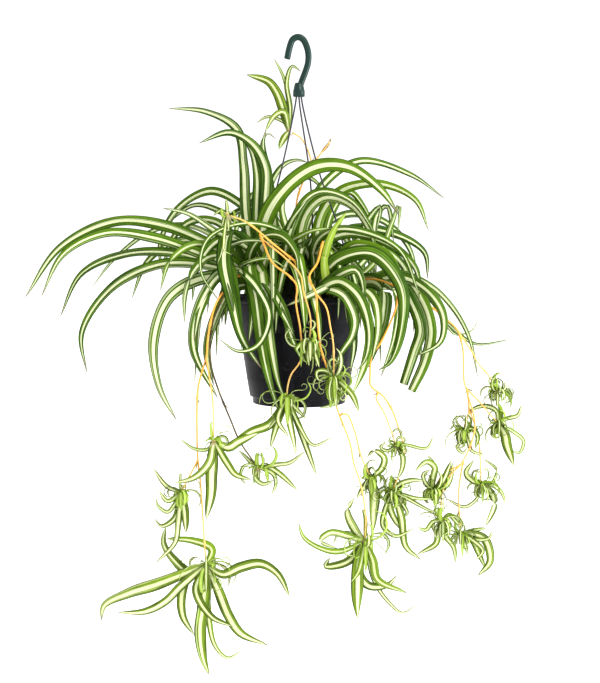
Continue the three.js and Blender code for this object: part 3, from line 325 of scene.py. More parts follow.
# Plantlets: the base, how many curled leaves fill it up and their reach, and what the finer piece
# has besides: curled leaves, narrow leaves that end in a ring, and hanging leaves. Then the leaves
# that show best: width, then the points that the leaf passes on its way to the tip
PLANTLETS = {
    "plantlet_top": {
        "base": [-15, 35, -127], "curls": 0, "reach": 26, "extras": (0, 0, 0),
        "leaves": [
            [6.5, [-13, 34, -94], [-18, 32, -56], [-10, 30, -33], [3, 29, -41]],
            [5, [-16, 37, -82], [-23, 39, -48], [-37, 41, -20]],
            [12, [-24, 32, -94], [-33, 28, -71], [-45, 24, -56], [-77, 21, -46]],
            [7.5, [-22, 29, -100], [-35, 23, -105], [-50, 17, -130]],
            [4, [-23, 36, -114], [-46, 38, -106], [-63, 39, -115]],
            [9, [-23, 25, -141], [-29, 15, -155]],
        ],
    },
    "plantlet_pale": {
        "base": [-99, -124, -251], "curls": 0, "reach": 20, "extras": (1, 0, 1),
        "leaves": [
            [4, [-108, -124, -246], [-118, -124, -253]],
            [4, [-99, -128, -240], [-100, -132, -230]],
            [4.5, [-103, -129, -257], [-105, -134, -268]],
            [5, [-98, -122, -260], [-97, -120, -273]],
            [4, [-103, -128, -284], [-106, -132, -303], [-112, -136, -319]],
            [3.5, [-103, -129, -286], [-102, -135, -301], [-92, -140, -306]],
        ],
    },
    "plantlet_centre": {
        "base": [15, -148, -426], "curls": 3, "reach": 24, "extras": (10, 4, 6),
        "leaves": [
            [5.5, [4, -151, -428], [-3, -153, -436], [2, -156, -441]],
            [7, [12, -147, -442], [14, -146, -459]],
            [7, [21, -153, -439], [28, -158, -460]],
        ],
    },
    "plantlet_pot": {
        "base": [48, -150, -475], "curls": 3, "reach": 26, "extras": (12, 7, 12),
        "leaves": [
            [5.5, [37, -152, -465], [25, -153, -466], [26, -154, -476], [34, -156, -479]],
            [9.5, [50, -152, -491], [54, -154, -510]],
            [5.5, [55, -149, -494], [48, -147, -511], [28, -146, -517]],
            [8, [59, -154, -483], [73, -158, -498], [82, -162, -520]],
        ],
    },
    "plantlet_under_pot": {
        "base": [-17, -120, -506], "curls": 0, "reach": 26, "extras": (7, 2, 3),
        "leaves": [
            [7, [-24, -123, -525], [-42, -126, -549]],
            [10.5, [-40, -118, -543], [-68, -116, -555], [-101, -114, -576]],
            [6, [-29, -126, -536], [-14, -132, -559]],
            [7.5, [-14, -125, -534], [-7, -129, -567], [-4, -134, -584]],
            [7.5, [0, -117, -547], [11, -115, -578], [25, -112, -617]],
            [5, [2, -121, -548], [20, -123, -572], [48, -124, -560]],
            [5.5, [-5, -113, -521], [10, -106, -537]],
            [8.5, [-32, -120, -548], [-40, -120, -576]],
        ],
    },
    "plantlet_brown": {
        "base": [-58, -86, -610], "curls": 1, "reach": 24, "extras": (9, 3, 2),
        "leaves": [
            [7, [-44, -85, -609], [-29, -83, -618], [-2, -82, -643]],
            [6, [-62, -89, -624], [-51, -93, -632], [-35, -96, -626]],
            [5, [-37, -83, -619], [-33, -81, -633], [-39, -78, -650]],
            [5.5, [-30, -88, -605], [-13, -90, -602], [9, -92, -585]],
            [5.5, [-71, -81, -599], [-87, -76, -586]],
        ],
    },
    "plantlet_left_upper": {
        "base": [-119, -122, -566], "curls": 1, "reach": 22, "extras": (3, 1, 1),
        "leaves": [
            [4.5, [-127, -120, -578], [-146, -118, -578], [-167, -116, -564]],
            [9.5, [-125, -125, -597], [-146, -129, -617], [-173, -132, -624]],
            [14, [-122, -122, -614], [-123, -122, -642], [-130, -122, -677]],
            [9, [-99, -127, -599], [-88, -133, -612], [-66, -138, -618]],
            [11, [-99, -119, -576], [-84, -117, -568], [-53, -114, -554]],
        ],
    },
    "plantlet_left_middle": {
        "base": [-166, -112, -641], "curls": 0, "reach": 22, "extras": (9, 2, 3),
        "leaves": [
            [5.5, [-187, -108, -632], [-206, -104, -607]],
            [5.5, [-184, -118, -652], [-196, -124, -636]],
            [5, [-184, -114, -668], [-198, -116, -659], [-201, -118, -646]],
            [7, [-175, -109, -678], [-195, -105, -690], [-205, -102, -679]],
            [11, [-161, -114, -668], [-159, -116, -697]],
            [7, [-170, -111, -686], [-175, -109, -713], [-202, -108, -742]],
        ],
    },
    "plantlet_left_low": {
        "base": [-132, -100, -747], "curls": 0, "reach": 30, "extras": (9, 3, 4),
        "leaves": [
            [14.5, [-200, -102, -774], [-242, -105, -787], [-276, -108, -804], [-280, -110, -825]],
            [10.5, [-167, -106, -776], [-189, -111, -797], [-217, -116, -810], [-256, -122, -810]],
            [11, [-155, -96, -759], [-167, -92, -791], [-166, -88, -824], [-150, -84, -853]],
            [15.5, [-136, -101, -803], [-141, -102, -839], [-137, -103, -879], [-128, -104, -905]],
            [12.5, [-116, -98, -782], [-101, -96, -821], [-83, -94, -848], [-43, -92, -866]],
            [12.5, [-108, -104, -760], [-82, -107, -749], [-54, -111, -743], [-31, -114, -756],
                [-13, -118, -788]],
            [10, [-128, -97, -724], [-151, -93, -714], [-189, -90, -711]],
            [11, [-156, -94, -759], [-180, -88, -741], [-194, -82, -719], [-191, -76, -696]],
            [11, [-146, -109, -781], [-124, -117, -817], [-93, -126, -829]],
            [7, [-131, -92, -799], [-121, -85, -867], [-102, -78, -888], [-82, -70, -878]],
        ],
    },
    "plantlet_right_low": {
        "base": [93, -108, -711], "curls": 0, "reach": 30, "extras": (9, 3, 5),
        "leaves": [
            [7, [59, -110, -725], [37, -111, -723], [7, -112, -705], [-1, -114, -682]],
            [9, [73, -113, -704], [44, -118, -697], [31, -123, -707], [54, -128, -717]],
            [11, [73, -106, -738], [57, -104, -746], [37, -102, -748], [44, -100, -736]],
            [10, [79, -104, -696], [68, -100, -669], [78, -96, -651]],
            [16, [85, -111, -740], [83, -113, -781], [83, -116, -820]],
            [7, [88, -116, -740], [83, -124, -753], [73, -132, -764]],
            [11, [84, -106, -755], [99, -105, -776], [126, -104, -775], [139, -102, -761]],
            [10, [104, -113, -737], [111, -117, -764], [152, -122, -782]],
            [5, [106, -104, -767], [127, -100, -800], [148, -96, -817], [170, -92, -805]],
        ],
    },
    "plantlet_right_inner": {
        "base": [102, -86, -624], "curls": 0, "reach": 18, "extras": (12, 4, 4),
        "leaves": [
            [12, [107, -88, -647], [106, -90, -673], [105, -92, -701]],
            [8, [90, -93, -640], [82, -100, -651]],
            [5.5, [116, -82, -652], [126, -78, -660]],
            [8.5, [118, -84, -610], [121, -82, -596], [108, -80, -587], [97, -78, -596]],
        ],
    },
    "plantlet_right_stem": {
        "base": [132, -94, -642], "curls": 0, "reach": 18, "extras": (20, 6, 4),
        "leaves": [
            [6.5, [122, -96, -668], [119, -99, -691], [137, -102, -705], [164, -104, -693]],
            [7.5, [129, -92, -664], [138, -90, -686], [154, -88, -705]],
            [9, [145, -94, -678], [152, -94, -722], [174, -94, -741]],
            [5.5, [164, -89, -653], [190, -84, -655]],
            [5, [157, -98, -654], [182, -102, -667], [196, -106, -671]],
            [5, [151, -89, -667], [154, -85, -676], [140, -80, -685]],
            [7, [142, -96, -628], [157, -98, -625], [177, -100, -626]],
        ],
    },
    "plantlet_right_upper": {
        "base": [136, -120, -573], "curls": 2, "reach": 14, "extras": (12, 5, 2),
        "leaves": [
            [4, [148, -118, -572], [179, -116, -577], [189, -114, -559]],
            [4.5, [124, -123, -580], [114, -125, -575], [120, -128, -567]],
            [6.5, [145, -120, -589], [144, -120, -606], [137, -120, -621]],
        ],
    },
    "plantlet_far_inner": {
        "base": [197, -20, -653], "curls": 1, "reach": 18, "extras": (22, 8, 4),
        "leaves": [
            [7.5, [199, -22, -635], [201, -24, -620], [187, -26, -611], [169, -28, -625]],
            [6, [203, -18, -626], [195, -16, -611], [188, -14, -602]],
            [8, [204, -25, -645], [213, -29, -632], [222, -34, -608]],
            [6.5, [215, -17, -650], [224, -13, -637], [227, -10, -613]],
            [5, [186, -21, -644], [182, -23, -629], [193, -24, -623]],
        ],
    },
    "plantlet_far_low": {
        "base": [210, -21, -699], "curls": 1, "reach": 20, "extras": (17, 5, 4),
        "leaves": [
            [7.5, [205, -19, -718], [202, -17, -734], [174, -15, -751]],
            [7.5, [214, -25, -719], [227, -29, -738], [229, -33, -759]],
            [6, [221, -18, -691], [230, -14, -700], [239, -11, -710]],
            [6, [197, -24, -700], [186, -26, -712], [174, -29, -707]],
        ],
    },
    "plantlet_far_tail": {
        "base": [241, 6, -724], "curls": 0, "reach": 20, "extras": (15, 5, 4),
        "leaves": [
            [6, [258, 8, -720], [280, 10, -716]],
            [11, [262, 4, -725], [277, 3, -733], [284, 2, -765], [266, 0, -786]],
            [7.5, [258, 9, -734], [269, 11, -756], [280, 14, -780]],
            [5, [262, 2, -732], [282, -2, -729], [286, -6, -716]],
            [6, [247, 14, -739], [254, 22, -759]],
            [6, [257, 2, -732], [273, -2, -748], [262, -6, -761]],
        ],
    },
    "plantlet_far_ball": {
        "base": [294, 14, -511], "curls": 5, "reach": 18, "extras": (22, 6, 1),
        "leaves": [],
    },
    "plantlet_far_outer": {
        "base": [297, 22, -561], "curls": 0, "reach": 18, "extras": (14, 5, 3),
        "leaves": [
            [6, [310, 25, -554], [327, 27, -549], [333, 30, -533]],
            [12, [306, 20, -575], [310, 18, -594], [320, 16, -623]],
            [5, [321, 25, -574], [336, 28, -588], [330, 31, -606], [316, 34, -601]],
            [6, [289, 16, -567], [289, 10, -579]],
            [6, [294, 23, -542], [279, 24, -535], [261, 25, -539], [251, 26, -553]],
        ],
    },
    "plantlet_far_upper": {
        "base": [242, -4, -567], "curls": 2, "reach": 18, "extras": (17, 6, 3),
        "leaves": [
            [6.5, [256, -6, -565], [263, -8, -576], [259, -10, -594]],
            [5, [244, -2, -579], [234, 0, -593], [243, 2, -602], [250, 4, -593]],
            [5, [249, -3, -582], [255, -3, -598], [275, -2, -605]],
        ],
    },
    "plantlet_far_stem": {
        "base": [272, 16, -651], "curls": 1, "reach": 18, "extras": (17, 7, 3),
        "leaves": [
            [10, [285, 14, -662], [291, 12, -680], [278, 10, -713]],
            [5, [287, 19, -653], [302, 23, -663], [310, 26, -683]],
            [4.5, [287, 21, -652], [296, 25, -631], [276, 30, -614]],
            [4.5, [267, 13, -670], [247, 9, -684], [217, 6, -670]],
            [6.5, [261, 17, -648], [249, 19, -635], [261, 20, -615]],
        ],
    },
}


class Random:
    """Repeatable random numbers, the same ones as in the part's source."""

    factor, modulus = 16807, 2147483647

    def __init__(self, seed):
        self.state = seed

    def __call__(self, low=0.0, high=1.0):
        self.state = self.state * self.factor % self.modulus
        return low + (high - low) * self.state / self.modulus


def unit(vector):
    return vector / max(1e-9, float(np.linalg.norm(vector)))


def outward(angle):
    """The direction from the pot's axis at an angle in degrees from the front, towards +X."""
    return np.array([math.sin(math.radians(angle)), -math.cos(math.radians(angle)), 0.0])


def around(turn, rise=0.0):
    """A step of 1 in plan at an angle in radians from +X towards +Y, and its rise."""
    return np.array([math.cos(turn), math.sin(turn), rise])


def curve_points(points, shares):
    """Points of a centripetal curve through the given ones, at shares of its parameter."""
    points = np.asarray(points, float)
    padded = np.vstack([2 * points[0] - points[1], points, 2 * points[-1] - points[-2]])
    place = np.asarray(shares) * (len(points) - 1)
    span = np.minimum(place.astype(int), len(points) - 2)
    weight = (place - span)[:, None]
    before, start, end, after = (padded[span + step] for step in range(4))

    def gap(one, other):
        return np.maximum(1e-4, np.sqrt(np.linalg.norm(other - one, axis=1)))[:, None]

    first, middle, last = gap(before, start), gap(start, end), gap(end, after)
    leave = (start - before) / first - (end - before) / (first + middle) + (end - start) / middle
    reach = (end - start) / middle - (after - start) / (middle + last) + (after - end) / last
    leave, reach = leave * middle, reach * middle
    square = -3 * start + 3 * end - 2 * leave - reach
    cube = 2 * start - 2 * end + leave + reach
    return start + leave * weight + square * weight**2 + cube * weight**3


def line_lengths(line):
    """The distance along a line of straight spans, at each of its points."""
    return np.concatenate([[0], np.cumsum(np.linalg.norm(np.diff(line, axis=0), axis=1))])


CURVE_SHARES = np.linspace(0, 1, 201)  # where a curve is measured


def curve_length(points):
    return line_lengths(curve_points(points, CURVE_SHARES))[-1]


def spaced(points, steps):
    """Points at even distances along the curve."""
    lengths = line_lengths(curve_points(points, CURVE_SHARES))
    return curve_points(points, np.interp(np.linspace(0, lengths[-1], steps + 1), lengths, CURVE_SHARES))


def sampled(points, spacing):
    """Points along a line of straight spans, no further apart than the spacing."""
    samples = []
    for start, end in zip(points, points[1:]):
        count = max(1, math.ceil(np.linalg.norm(end - start) / spacing))
        samples += [start + (end - start) * step / count for step in range(count)]
    return np.array(samples + [points[-1]])


def headings(line):
    """The direction in which a line runs, at each of its points."""
    along = np.vstack([line[1:], line[-1:]]) - np.vstack([line[:1], line[:-1]])
    return along / np.linalg.norm(along, axis=1)[:, None]


def smoothed(values, rounds):
    """Values along a line, evened out between its ends."""
    values = values.copy()
    for _ in range(rounds):
        values[1:-1] = (values[:-2] + 2 * values[1:-1] + values[2:]) / 4
    return values


def wire_points(index):
    """The centre line of a wire, from the socket in the hook to the bend in the ear."""
    out = outward(EAR_ANGLES[index])
    bottom, top, eye = HOOK_COLLAR["bottom"], RIM["top"], EAR["eye"]
    high = top - EAR["drop"]
    # distance from the axis and height, at the hook and at the ear
    upper = [(4, bottom + SOCKET_DEPTH - GAP), (4.6, bottom - 4)]
    lower = [(eye - 9, top + 22), (eye - 0.6, high), (eye + 0.8, high - EAR["thickness"] - 3)]

    def placed(ends):
        return [out * x + UP * z for x, z in ends]

    return np.array([*placed(upper), *WIRE_MIDDLES[index], *placed(lower)], float)


def strand_points(strand):
    """The points of a strand, which stops just short of its plantlet's knob."""
    carried, *points = strand
    line = [np.array(point, float) for point in points]
    if carried:
        base = np.array(PLANTLETS[carried]["base"], float)
        line.append(base + unit(line[-1] - base) * (PLANTLET_KNOB + GAP))
    return np.array(line)


def strand_bends(strand):
    """The points at which the solid's strand bends."""
    points = strand_points(strand)
    return spaced(points, max(3, int(curve_length(points) / RUNNER_STEP + 0.5)))


def branch_points(strand, parents):
    """The points of a branch, which starts on a bend of the strand that it leaves."""
    line = strand_points(strand)
    bends = np.vstack([strand_bends(parent) for parent in parents])
    line[0] = bends[np.argmin(np.linalg.norm(bends - line[0], axis=1))]
    return line


def kept_clear():
    """Lines that leaves keep clear of: points, radius, and whether the leaves pass over them."""
    lines = []
    for index in range(len(EAR_ANGLES)):
        lines.append((sampled(spaced(wire_points(index), WIRE_STEPS), CLEAR_SPACING), WIRE_RADIUS, False))
    rim = [outward(angle) * RIM["radius"] + UP * (RIM["top"] - 1) for angle in range(0, 361, 5)]
    lines.append((np.array(rim), RIM_ROOM, True))
    start = RIM["radius"] + RIM["flange"]
    for angle in EAR_ANGLES:
        lug = [outward(angle) * (start + step) + UP * (RIM["top"] - 4) for step in (0, 4, 8, 12)]
        lines.append((np.array(lug), EAR_ROOM, True))
    for strands in RUNNERS.values():
        for strand in strands:
            lines.append((sampled(strand_bends(strand), CLEAR_SPACING), RUNNER_RADIUS, False))
    return lines


KEPT_CLEAR = kept_clear()


def blade_share(share):
    """Width of a blade along its length, as a share of its full width."""
    rise = BLADE_BASE + (1 - BLADE_BASE) * np.sin(np.minimum(1, share / BLADE_FULL_FROM) * math.pi / 2)
    inner, outer = BLADE_POINTED
    return rise * (1 - np.minimum(1, share) ** inner) ** outer


def bent_clear(line, width, first_free):
    """Bends the line of a blade away from every line that it would touch, and over the rim."""
    line = line.copy()
    last = len(line) - 1
    for _ in range(BEND_ROUNDS):
        moved = False
        for points, radius, over in KEPT_CLEAR:
            # a line that is well off the blade needs no closer look
            room = width + radius + 10
            beyond = line.min(axis=0) - room > points.max(axis=0)
            short = line.max(axis=0) + room < points.min(axis=0)
            if np.any(beyond | short):
                continue
            spans = line[1:] - line[:-1]
            offsets = points[None] - line[:-1, None]
            along = np.einsum("spk,sk->sp", offsets, spans) / np.einsum("sk,sk->s", spans, spans)[:, None]
            share = np.clip(along, 0, 1)
            place = np.arange(last)[:, None] + share
            away = line[:-1, None] + spans[:, None] * share[..., None] - points[None]
            half = 0.5 * width * np.maximum(NARROWEST, blade_share(place / last))
            shortfall = half + radius + BLADE_MARGIN - np.linalg.norm(away, axis=2)
            shortfall[place < first_free] = 0
            worst = np.unravel_index(np.argmax(shortfall), shortfall.shape)
            if shortfall[worst] <= TOUCH:
                continue
            moved = True
            push = away[worst]
            if over:
                push = unit(points[worst[1]] * [1, 1, 0]) + RISE_OVER_RIM * UP
            elif np.linalg.norm(push) < NO_SIDE:
                push = -TO_VIEWER
            near = np.maximum(0, 1 - np.abs(np.arange(last + 1) - place[worst]) / BEND_SPANS)
            near[0] = 0
            near = np.minimum(1, near * BEND_PLATEAU)
            line += unit(push) * ((shortfall[worst] + EXTRA_PUSH) * near)[:, None]
        if not moved:
            break
    return line


def bent_curve(points, steps, width, first_free, spacing=BLADE_RING):
    """A smooth curve through the points, moved aside as far as the solid's coarser line was."""
    coarse = spaced(points, steps)
    moved = bent_clear(coarse, width, first_free) - coarse
    rings = max(8, int(curve_length(points) / spacing))
    places = np.linspace(0, steps, rings + 1)
    shift = [np.interp(places, np.arange(steps + 1), moved[:, axis]) for axis in range(3)]
    return spaced(points, rings) + smoothed(np.stack(shift, axis=1), rings // 3)


def turned_about(vectors, axes, angles):
    """Each vector turned about its own unit axis."""
    cosine = np.cos(angles)[:, None]
    sine = np.sin(angles)[:, None]
    dots = np.einsum("ij,ij->i", vectors, axes)[:, None]
    return vectors * cosine + np.cross(axes, vectors) * sine + axes * dots * (1 - cosine)


def squared(across, along):
    """Directions across a blade, made square to the way that it runs."""
    across = across - along * np.einsum("ij,ij->i", across, along)[:, None]
    return across / np.maximum(1e-6, np.linalg.norm(across, axis=1))[:, None]


def carried_along(start, along):
    """A direction that is carried along a line, turning as little as it can."""
    carried = np.empty_like(along)
    now = start
    for index, heading in enumerate(along):
        now = unit(now - heading * (heading @ now))
        carried[index] = now
    return carried


def blade_frames(line, roll, twist, face, steady):
    """Directions across and out of a blade, rolled towards the front where it runs sideways.

    The share called face is how far the blade is turned to show its whole width to the front. A
    steady blade takes no twist, and turns as little as it can from ring to ring."""
    run = unit((line[-1] - line[0]) * [1, 1, 0])
    level = np.cross(run, UP)
    turn = math.radians(roll) * abs(run[0]) * np.sign(level[1])
    along = headings(line)
    share = np.linspace(0, 1, len(line))
    flat = np.cross(along, TO_VIEWER)
    across = squared(np.tile(level, (len(line), 1)), along)
    if steady:
        across = carried_along(turned_about(across[:1], along[:1], np.array([turn]))[0], along)
        flat *= np.where(np.sum(flat * across, axis=1) < 0, -1, 1)[:, None]
    else:
        ramp = turn * np.minimum(1, share / ROLLED_FROM) + math.radians(twist) * share
        across = turned_about(across, along, ramp)
        outer = len(line) // 2
        shown = np.minimum(1, share / FACING_FROM)[:, None]
        flat *= np.sign(np.sum(flat[outer:] * across[outer:])) * shown
    across = squared(smoothed(across * (1 - face) + flat * face, len(line) // 6), along)
    return across, np.cross(across, along)


def ring_faces(rings, corners, capped=False):
    """Quads between neighbouring rings of corners, and a face over each end where it is capped."""
    faces = []
    for ring in range(rings - 1):
        low, high = ring * corners, (ring + 1) * corners
        for corner in range(corners):
            following = (corner + 1) % corners
            faces.append((low + corner, low + following, high + following, high + corner))
    if capped:
        faces.append(tuple(reversed(range(corners))))
        faces.append(tuple(range((rings - 1) * corners, rings * corners)))
    return faces


class Bag:
    """Vertices, faces and values for the shaders that become one piece."""

    def __init__(self):
        self.points = []
        self.places = []
        self.looks = []
        self.faces = []
        self.slots = []
        self.count = 0

    def add(self, points, places, look, faces, slot=0):
        self.points.append(np.asarray(points, float))
        self.places.append(np.asarray(places, float))
        self.looks.append(np.tile(np.asarray(look, float), (len(points), 1)))
        self.faces += [tuple(self.count + corner for corner in face) for face in faces]
        self.slots += [slot] * len(faces)
        self.count += len(points)

    def add_rings(self, rings, slot=0, capped=False):
        """Rings of corners in a material that takes no values from them."""
        points = np.reshape(rings, (-1, 3))
        faces = ring_faces(len(rings), len(rings[0]), capped)
        self.add(points, np.zeros_like(points), (0, 0, 0, 0), faces, slot)

    def piece(self, name, materials, nodes):
        """Makes the piece, which takes the place of the nodes' solids."""
        mesh = bpy.data.meshes.new(name)
        mesh.from_pydata((np.vstack(self.points) * MM).tolist(), [], self.faces)
        place = mesh.attributes.new("place", "FLOAT_VECTOR", "POINT")
        place.data.foreach_set("vector", np.vstack(self.places).ravel())
        look = mesh.attributes.new("look", "FLOAT_COLOR", "POINT")
        look.data.foreach_set("color", np.vstack(self.looks).ravel())
        for material in materials:
            mesh.materials.append(material)
        mesh.polygons.foreach_set("material_index", self.slots)
        mesh.polygons.foreach_set("use_smooth", [True] * len(mesh.polygons))
        mesh.update()
        built = bpy.data.objects.new(name, mesh)
        bpy.context.scene.collection.objects.link(built)
        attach(built, "root")
        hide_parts(*nodes)


def add_tube(bag, line, radii, look, sides, slot=0, shares=None):
    """A round bar along a line, with a radius at each point and pointed ends.

    The shares say how far along its stem each point counts for the shader."""
    radii = np.broadcast_to(np.asarray(radii, float), len(line))
    along = headings(line)
    lengths = line_lengths(line)
    if shares is None:
        shares = lengths / lengths[-1]
    angles = np.arange(sides) * 2 * math.pi / sides
    side = unit(np.cross(along[0], [0.3, 0.9, 0.2]))
    points, places = [], []
    for centre, radius, heading, share, length in zip(line, radii, along, shares, lengths):
        side = unit(side - heading * (side @ heading))
        other = np.cross(heading, side)
        points += [centre + radius * (side * math.cos(a) + other * math.sin(a)) for a in angles]
        places += [[a / (2 * math.pi), share, length] for a in angles]
    faces = ring_faces(len(line), sides)
    end = len(points)
    last = end - sides
    points += [line[0] - along[0] * radii[0] * 0.4, line[-1] + along[-1] * radii[-1] * 0.4]
    places += [[0.5, shares[0], 0], [0.5, shares[-1], lengths[-1]]]
    faces += [(end, (corner + 1) % sides, corner) for corner in range(sides)]
    faces += [(end + 1, last + corner, last + (corner + 1) % sides) for corner in range(sides)]
    bag.add(points, places, look, faces, slot)


def add_blade(bag, line, width, look, roll=0, twist=0, face=0.0, keel=0.12, cut=False, steady=False,
              slot=0):
    """A thin closed blade: a gutter in section, with soft waves along both edges.

    The keel is how far the edges stand out from the middle, as a share of the width."""
    across, out = blade_frames(line, roll, twist, face, steady)
    lengths = line_lengths(line)
    share = lengths / lengths[-1]
    phase = 40 * look[0]
    half = np.maximum(0.5 * width * blade_share(CUT_AT * share if cut else share), THINNEST_HALF)
    half = half * (1 + EDGE_WAVE * np.sin(lengths / WIDTH_WAVE + phase))
    half = half[:, None]
    sides = np.linspace(-1, 1, BLADE_POINTS)
    ripple = EDGE_WAVE * width * np.sin(lengths[:, None] / RIPPLE_WAVE + phase + RIPPLE_LAG * sides)
    lift = keel * width * np.abs(sides) ** GUTTER + ripple * np.abs(sides)
    lift = lift * np.minimum(1, half / (0.25 * width))
    thick = 0.5 * BLADE_THICKNESS * (1 - sides**2) * np.minimum(1, half / 2)
    middle = line[:, None] + across[:, None] * (half * sides)[..., None]
    top = middle + out[:, None] * (lift + thick)[..., None]
    under = middle + out[:, None] * (lift - thick)[..., None]
    corners = 2 * BLADE_POINTS - 2
    points = np.concatenate([top, under[:, -2:0:-1]], axis=1).reshape(-1, 3)
    round_section = (np.concatenate([sides, sides[-2:0:-1]]) + 1) / 2
    places = np.stack(np.broadcast_arrays(round_section, share[:, None], lengths[:, None]), axis=2)
    faces = [face[::-1] for face in ring_faces(len(line), corners, capped=True)]
    bag.add(points, places.reshape(-1, 3), look, faces, slot)


class Value:
    """A number that a node works out. Sums with it make further nodes."""

    def __init__(self, shader, socket):
        self.shader = shader
        self.socket = socket

    def combined(self, operation, first, second=0.0):
        made = self.shader.node("Math", {0: first, 1: second}, operation=operation)
        return Value(self.shader, made.outputs[0])

    def __add__(self, other):
        return self.combined("ADD", self, other)

    def __sub__(self, other):
        return self.combined("SUBTRACT", self, other)

    def __rsub__(self, other):
        return self.combined("SUBTRACT", other, self)

    def __mul__(self, other):
        return self.combined("MULTIPLY", self, other)

    def __abs__(self):
        return self.combined("ABSOLUTE", self)


class Shader:
    """A material with its node tree, and short ways to fill it."""

    def __init__(self, name):
        self.material = bpy.data.materials.new(name)
        self.material.use_nodes = True
        self.tree = self.material.node_tree
        self.tree.nodes.clear()
        self.output = self.tree.nodes.new("ShaderNodeOutputMaterial")

    def node(self, kind, inputs, **settings):
        made = self.tree.nodes.new("ShaderNode" + kind)
        for key, value in settings.items():
            setattr(made, key, value)
        for key, value in inputs.items():
            self.put(made.inputs[key], value)
        return made

    def put(self, socket, value):
        if isinstance(value, Value):
            value = value.socket
        if isinstance(value, bpy.types.NodeSocket):
            self.tree.links.new(value, socket)
        elif isinstance(value, tuple):
            socket.default_value = (*value, 1.0)
        else:
            socket.default_value = value

    def values(self, name):
        """The three numbers of an attribute, and its fourth where it has one."""
        source = self.node("Attribute", {}, attribute_name=name)
        split = self.node("SeparateXYZ", {"Vector": source.outputs["Vector"]})
        return [Value(self, socket) for socket in (*split.outputs, source.outputs["Alpha"])]

    def position(self):
        return self.node("TexCoord", {}).outputs["Object"]

    def step(self, value, low, high):
        """0 below low, 1 above high, and a soft change between them."""
        made = self.node("MapRange", {"Value": value, "From Min": low, "From Max": high},
                         interpolation_type="SMOOTHSTEP")
        return Value(self, made.outputs["Result"])

    def mix(self, factor, first, second):
        return self.node("MixRGB", {0: factor, 1: first, 2: second}).outputs[0]

    def noise(self, place, scale=1.0, detail=2.0, roughness=0.5):
        """Soft random patches over a place, which is a vector or its three numbers."""
        if isinstance(place, tuple):
            place = self.node("CombineXYZ", dict(enumerate(place))).outputs[0]
        made = self.node("TexNoise", {"Vector": place, "Scale": scale, "Detail": detail,
                                      "Roughness": roughness})
        return Value(self, made.outputs["Fac"])

    def bump(self, height, strength, distance):
        made = self.node("Bump", {"Height": height, "Strength": strength, "Distance": distance})
        return made.outputs["Normal"]

    def surface(self, inputs):
        return self.node("BsdfPrincipled", {key.replace("_", " "): value for key, value in inputs.items()})

    def finish(self, surface):
        self.tree.links.new(surface.outputs[0], self.output.inputs["Surface"])
        return self.material

    def finish_plain(self, **inputs):
        """A plain surface with these inputs."""
        return self.finish(self.surface(inputs))

    def finish_leaf(self, through, share, **inputs):
        """A surface that lets a share of the light through from behind."""
        front = self.surface(inputs)
        behind = self.node("BsdfTranslucent", {"Color": through})
        return self.finish(self.node("MixShader", {0: share, 1: front.outputs[0], 2: behind.outputs[0]}))


LEAF_GLOSS = 0.2
LIVELY_GREEN = (0.30, 0.50, 0.02)
FRESH_GREENS = [(0.22, 0.40, 0.020), (0.55, 0.68, 0.11)]
PALE_BASE = (0.48, 0.55, 0.20)
LIGHT_THROUGH = (0.30, 0.50, 0.03)


def leaf_look(name, dark, light, centre, tip, stripe_from, stripe_more, soft, share):
    """A striped blade: green margins with fine streaks, a pale centre and a dry tip.

    The stripe takes a share of the width, from the first value to the first and second together,
    and its edge is soft over the third."""
    shader = Shader(name)
    across, along, length, _ = shader.values("place")
    tint, stripe, youth, wear = shader.values("look")
    aside = abs(across - 0.5) * 2
    streaks = shader.noise((across * 17, length * 0.010, tint * 60), detail=3, roughness=0.6)
    lines = shader.noise((across * 8, length * 0.003, tint * 140), detail=1)
    clouds = shader.noise((across * 1.5, length * 0.03, tint * 90))
    ribs = shader.noise((across * 60, length * 0.01, tint))
    edge = shader.step(aside, 0.72, 0.95) * 0.75
    # the green margins
    green = shader.mix(shader.step(streaks, 0.35, 0.75), dark, light)
    green = shader.mix(tint * 0.35, green, light)
    green = shader.mix(shader.step(clouds, 0.45, 0.7) * 0.5, green, dark)
    green = shader.mix(edge, green, dark)
    green = shader.mix(shader.step(youth, 0.38, 0.55) * 0.35, green, LIVELY_GREEN)
    green = shader.mix(shader.step(lines, 0.60, 0.68) * 0.45 * (1 - edge), green, centre)
    # the pale centre
    veins = shader.mix(shader.step(streaks, 0.52, 0.7) * 0.35, centre, light)
    inner = stripe * stripe_more + stripe_from
    colour = shader.mix(shader.step(aside + (streaks - 0.5) * 0.16, inner, inner + soft), veins, green)
    # young leaves, the pale base and the dry tip
    fresh = shader.step(youth, 0.5, 1) * 0.85 * (1 - edge)
    colour = shader.mix(fresh, colour, shader.mix(streaks, *FRESH_GREENS))
    colour = shader.mix((1 - shader.step(along, 0, 0.2)) * 0.45, colour, PALE_BASE)
    colour = shader.mix(shader.step(along, 0.985 - wear * 0.07, 1), colour, tip)
    return shader.finish_leaf(
        shader.mix(0.3, colour, LIGHT_THROUGH), share, Base_Color=colour,
        Roughness=clouds * 0.25 + 0.42, Normal=shader.bump(ribs, 0.35, 0.0004),
        Specular_IOR_Level=LEAF_GLOSS)


OLIVE_STREAK = (0.62, 0.55, 0.10)
BROWN_FLECK = (0.16, 0.07, 0.03)


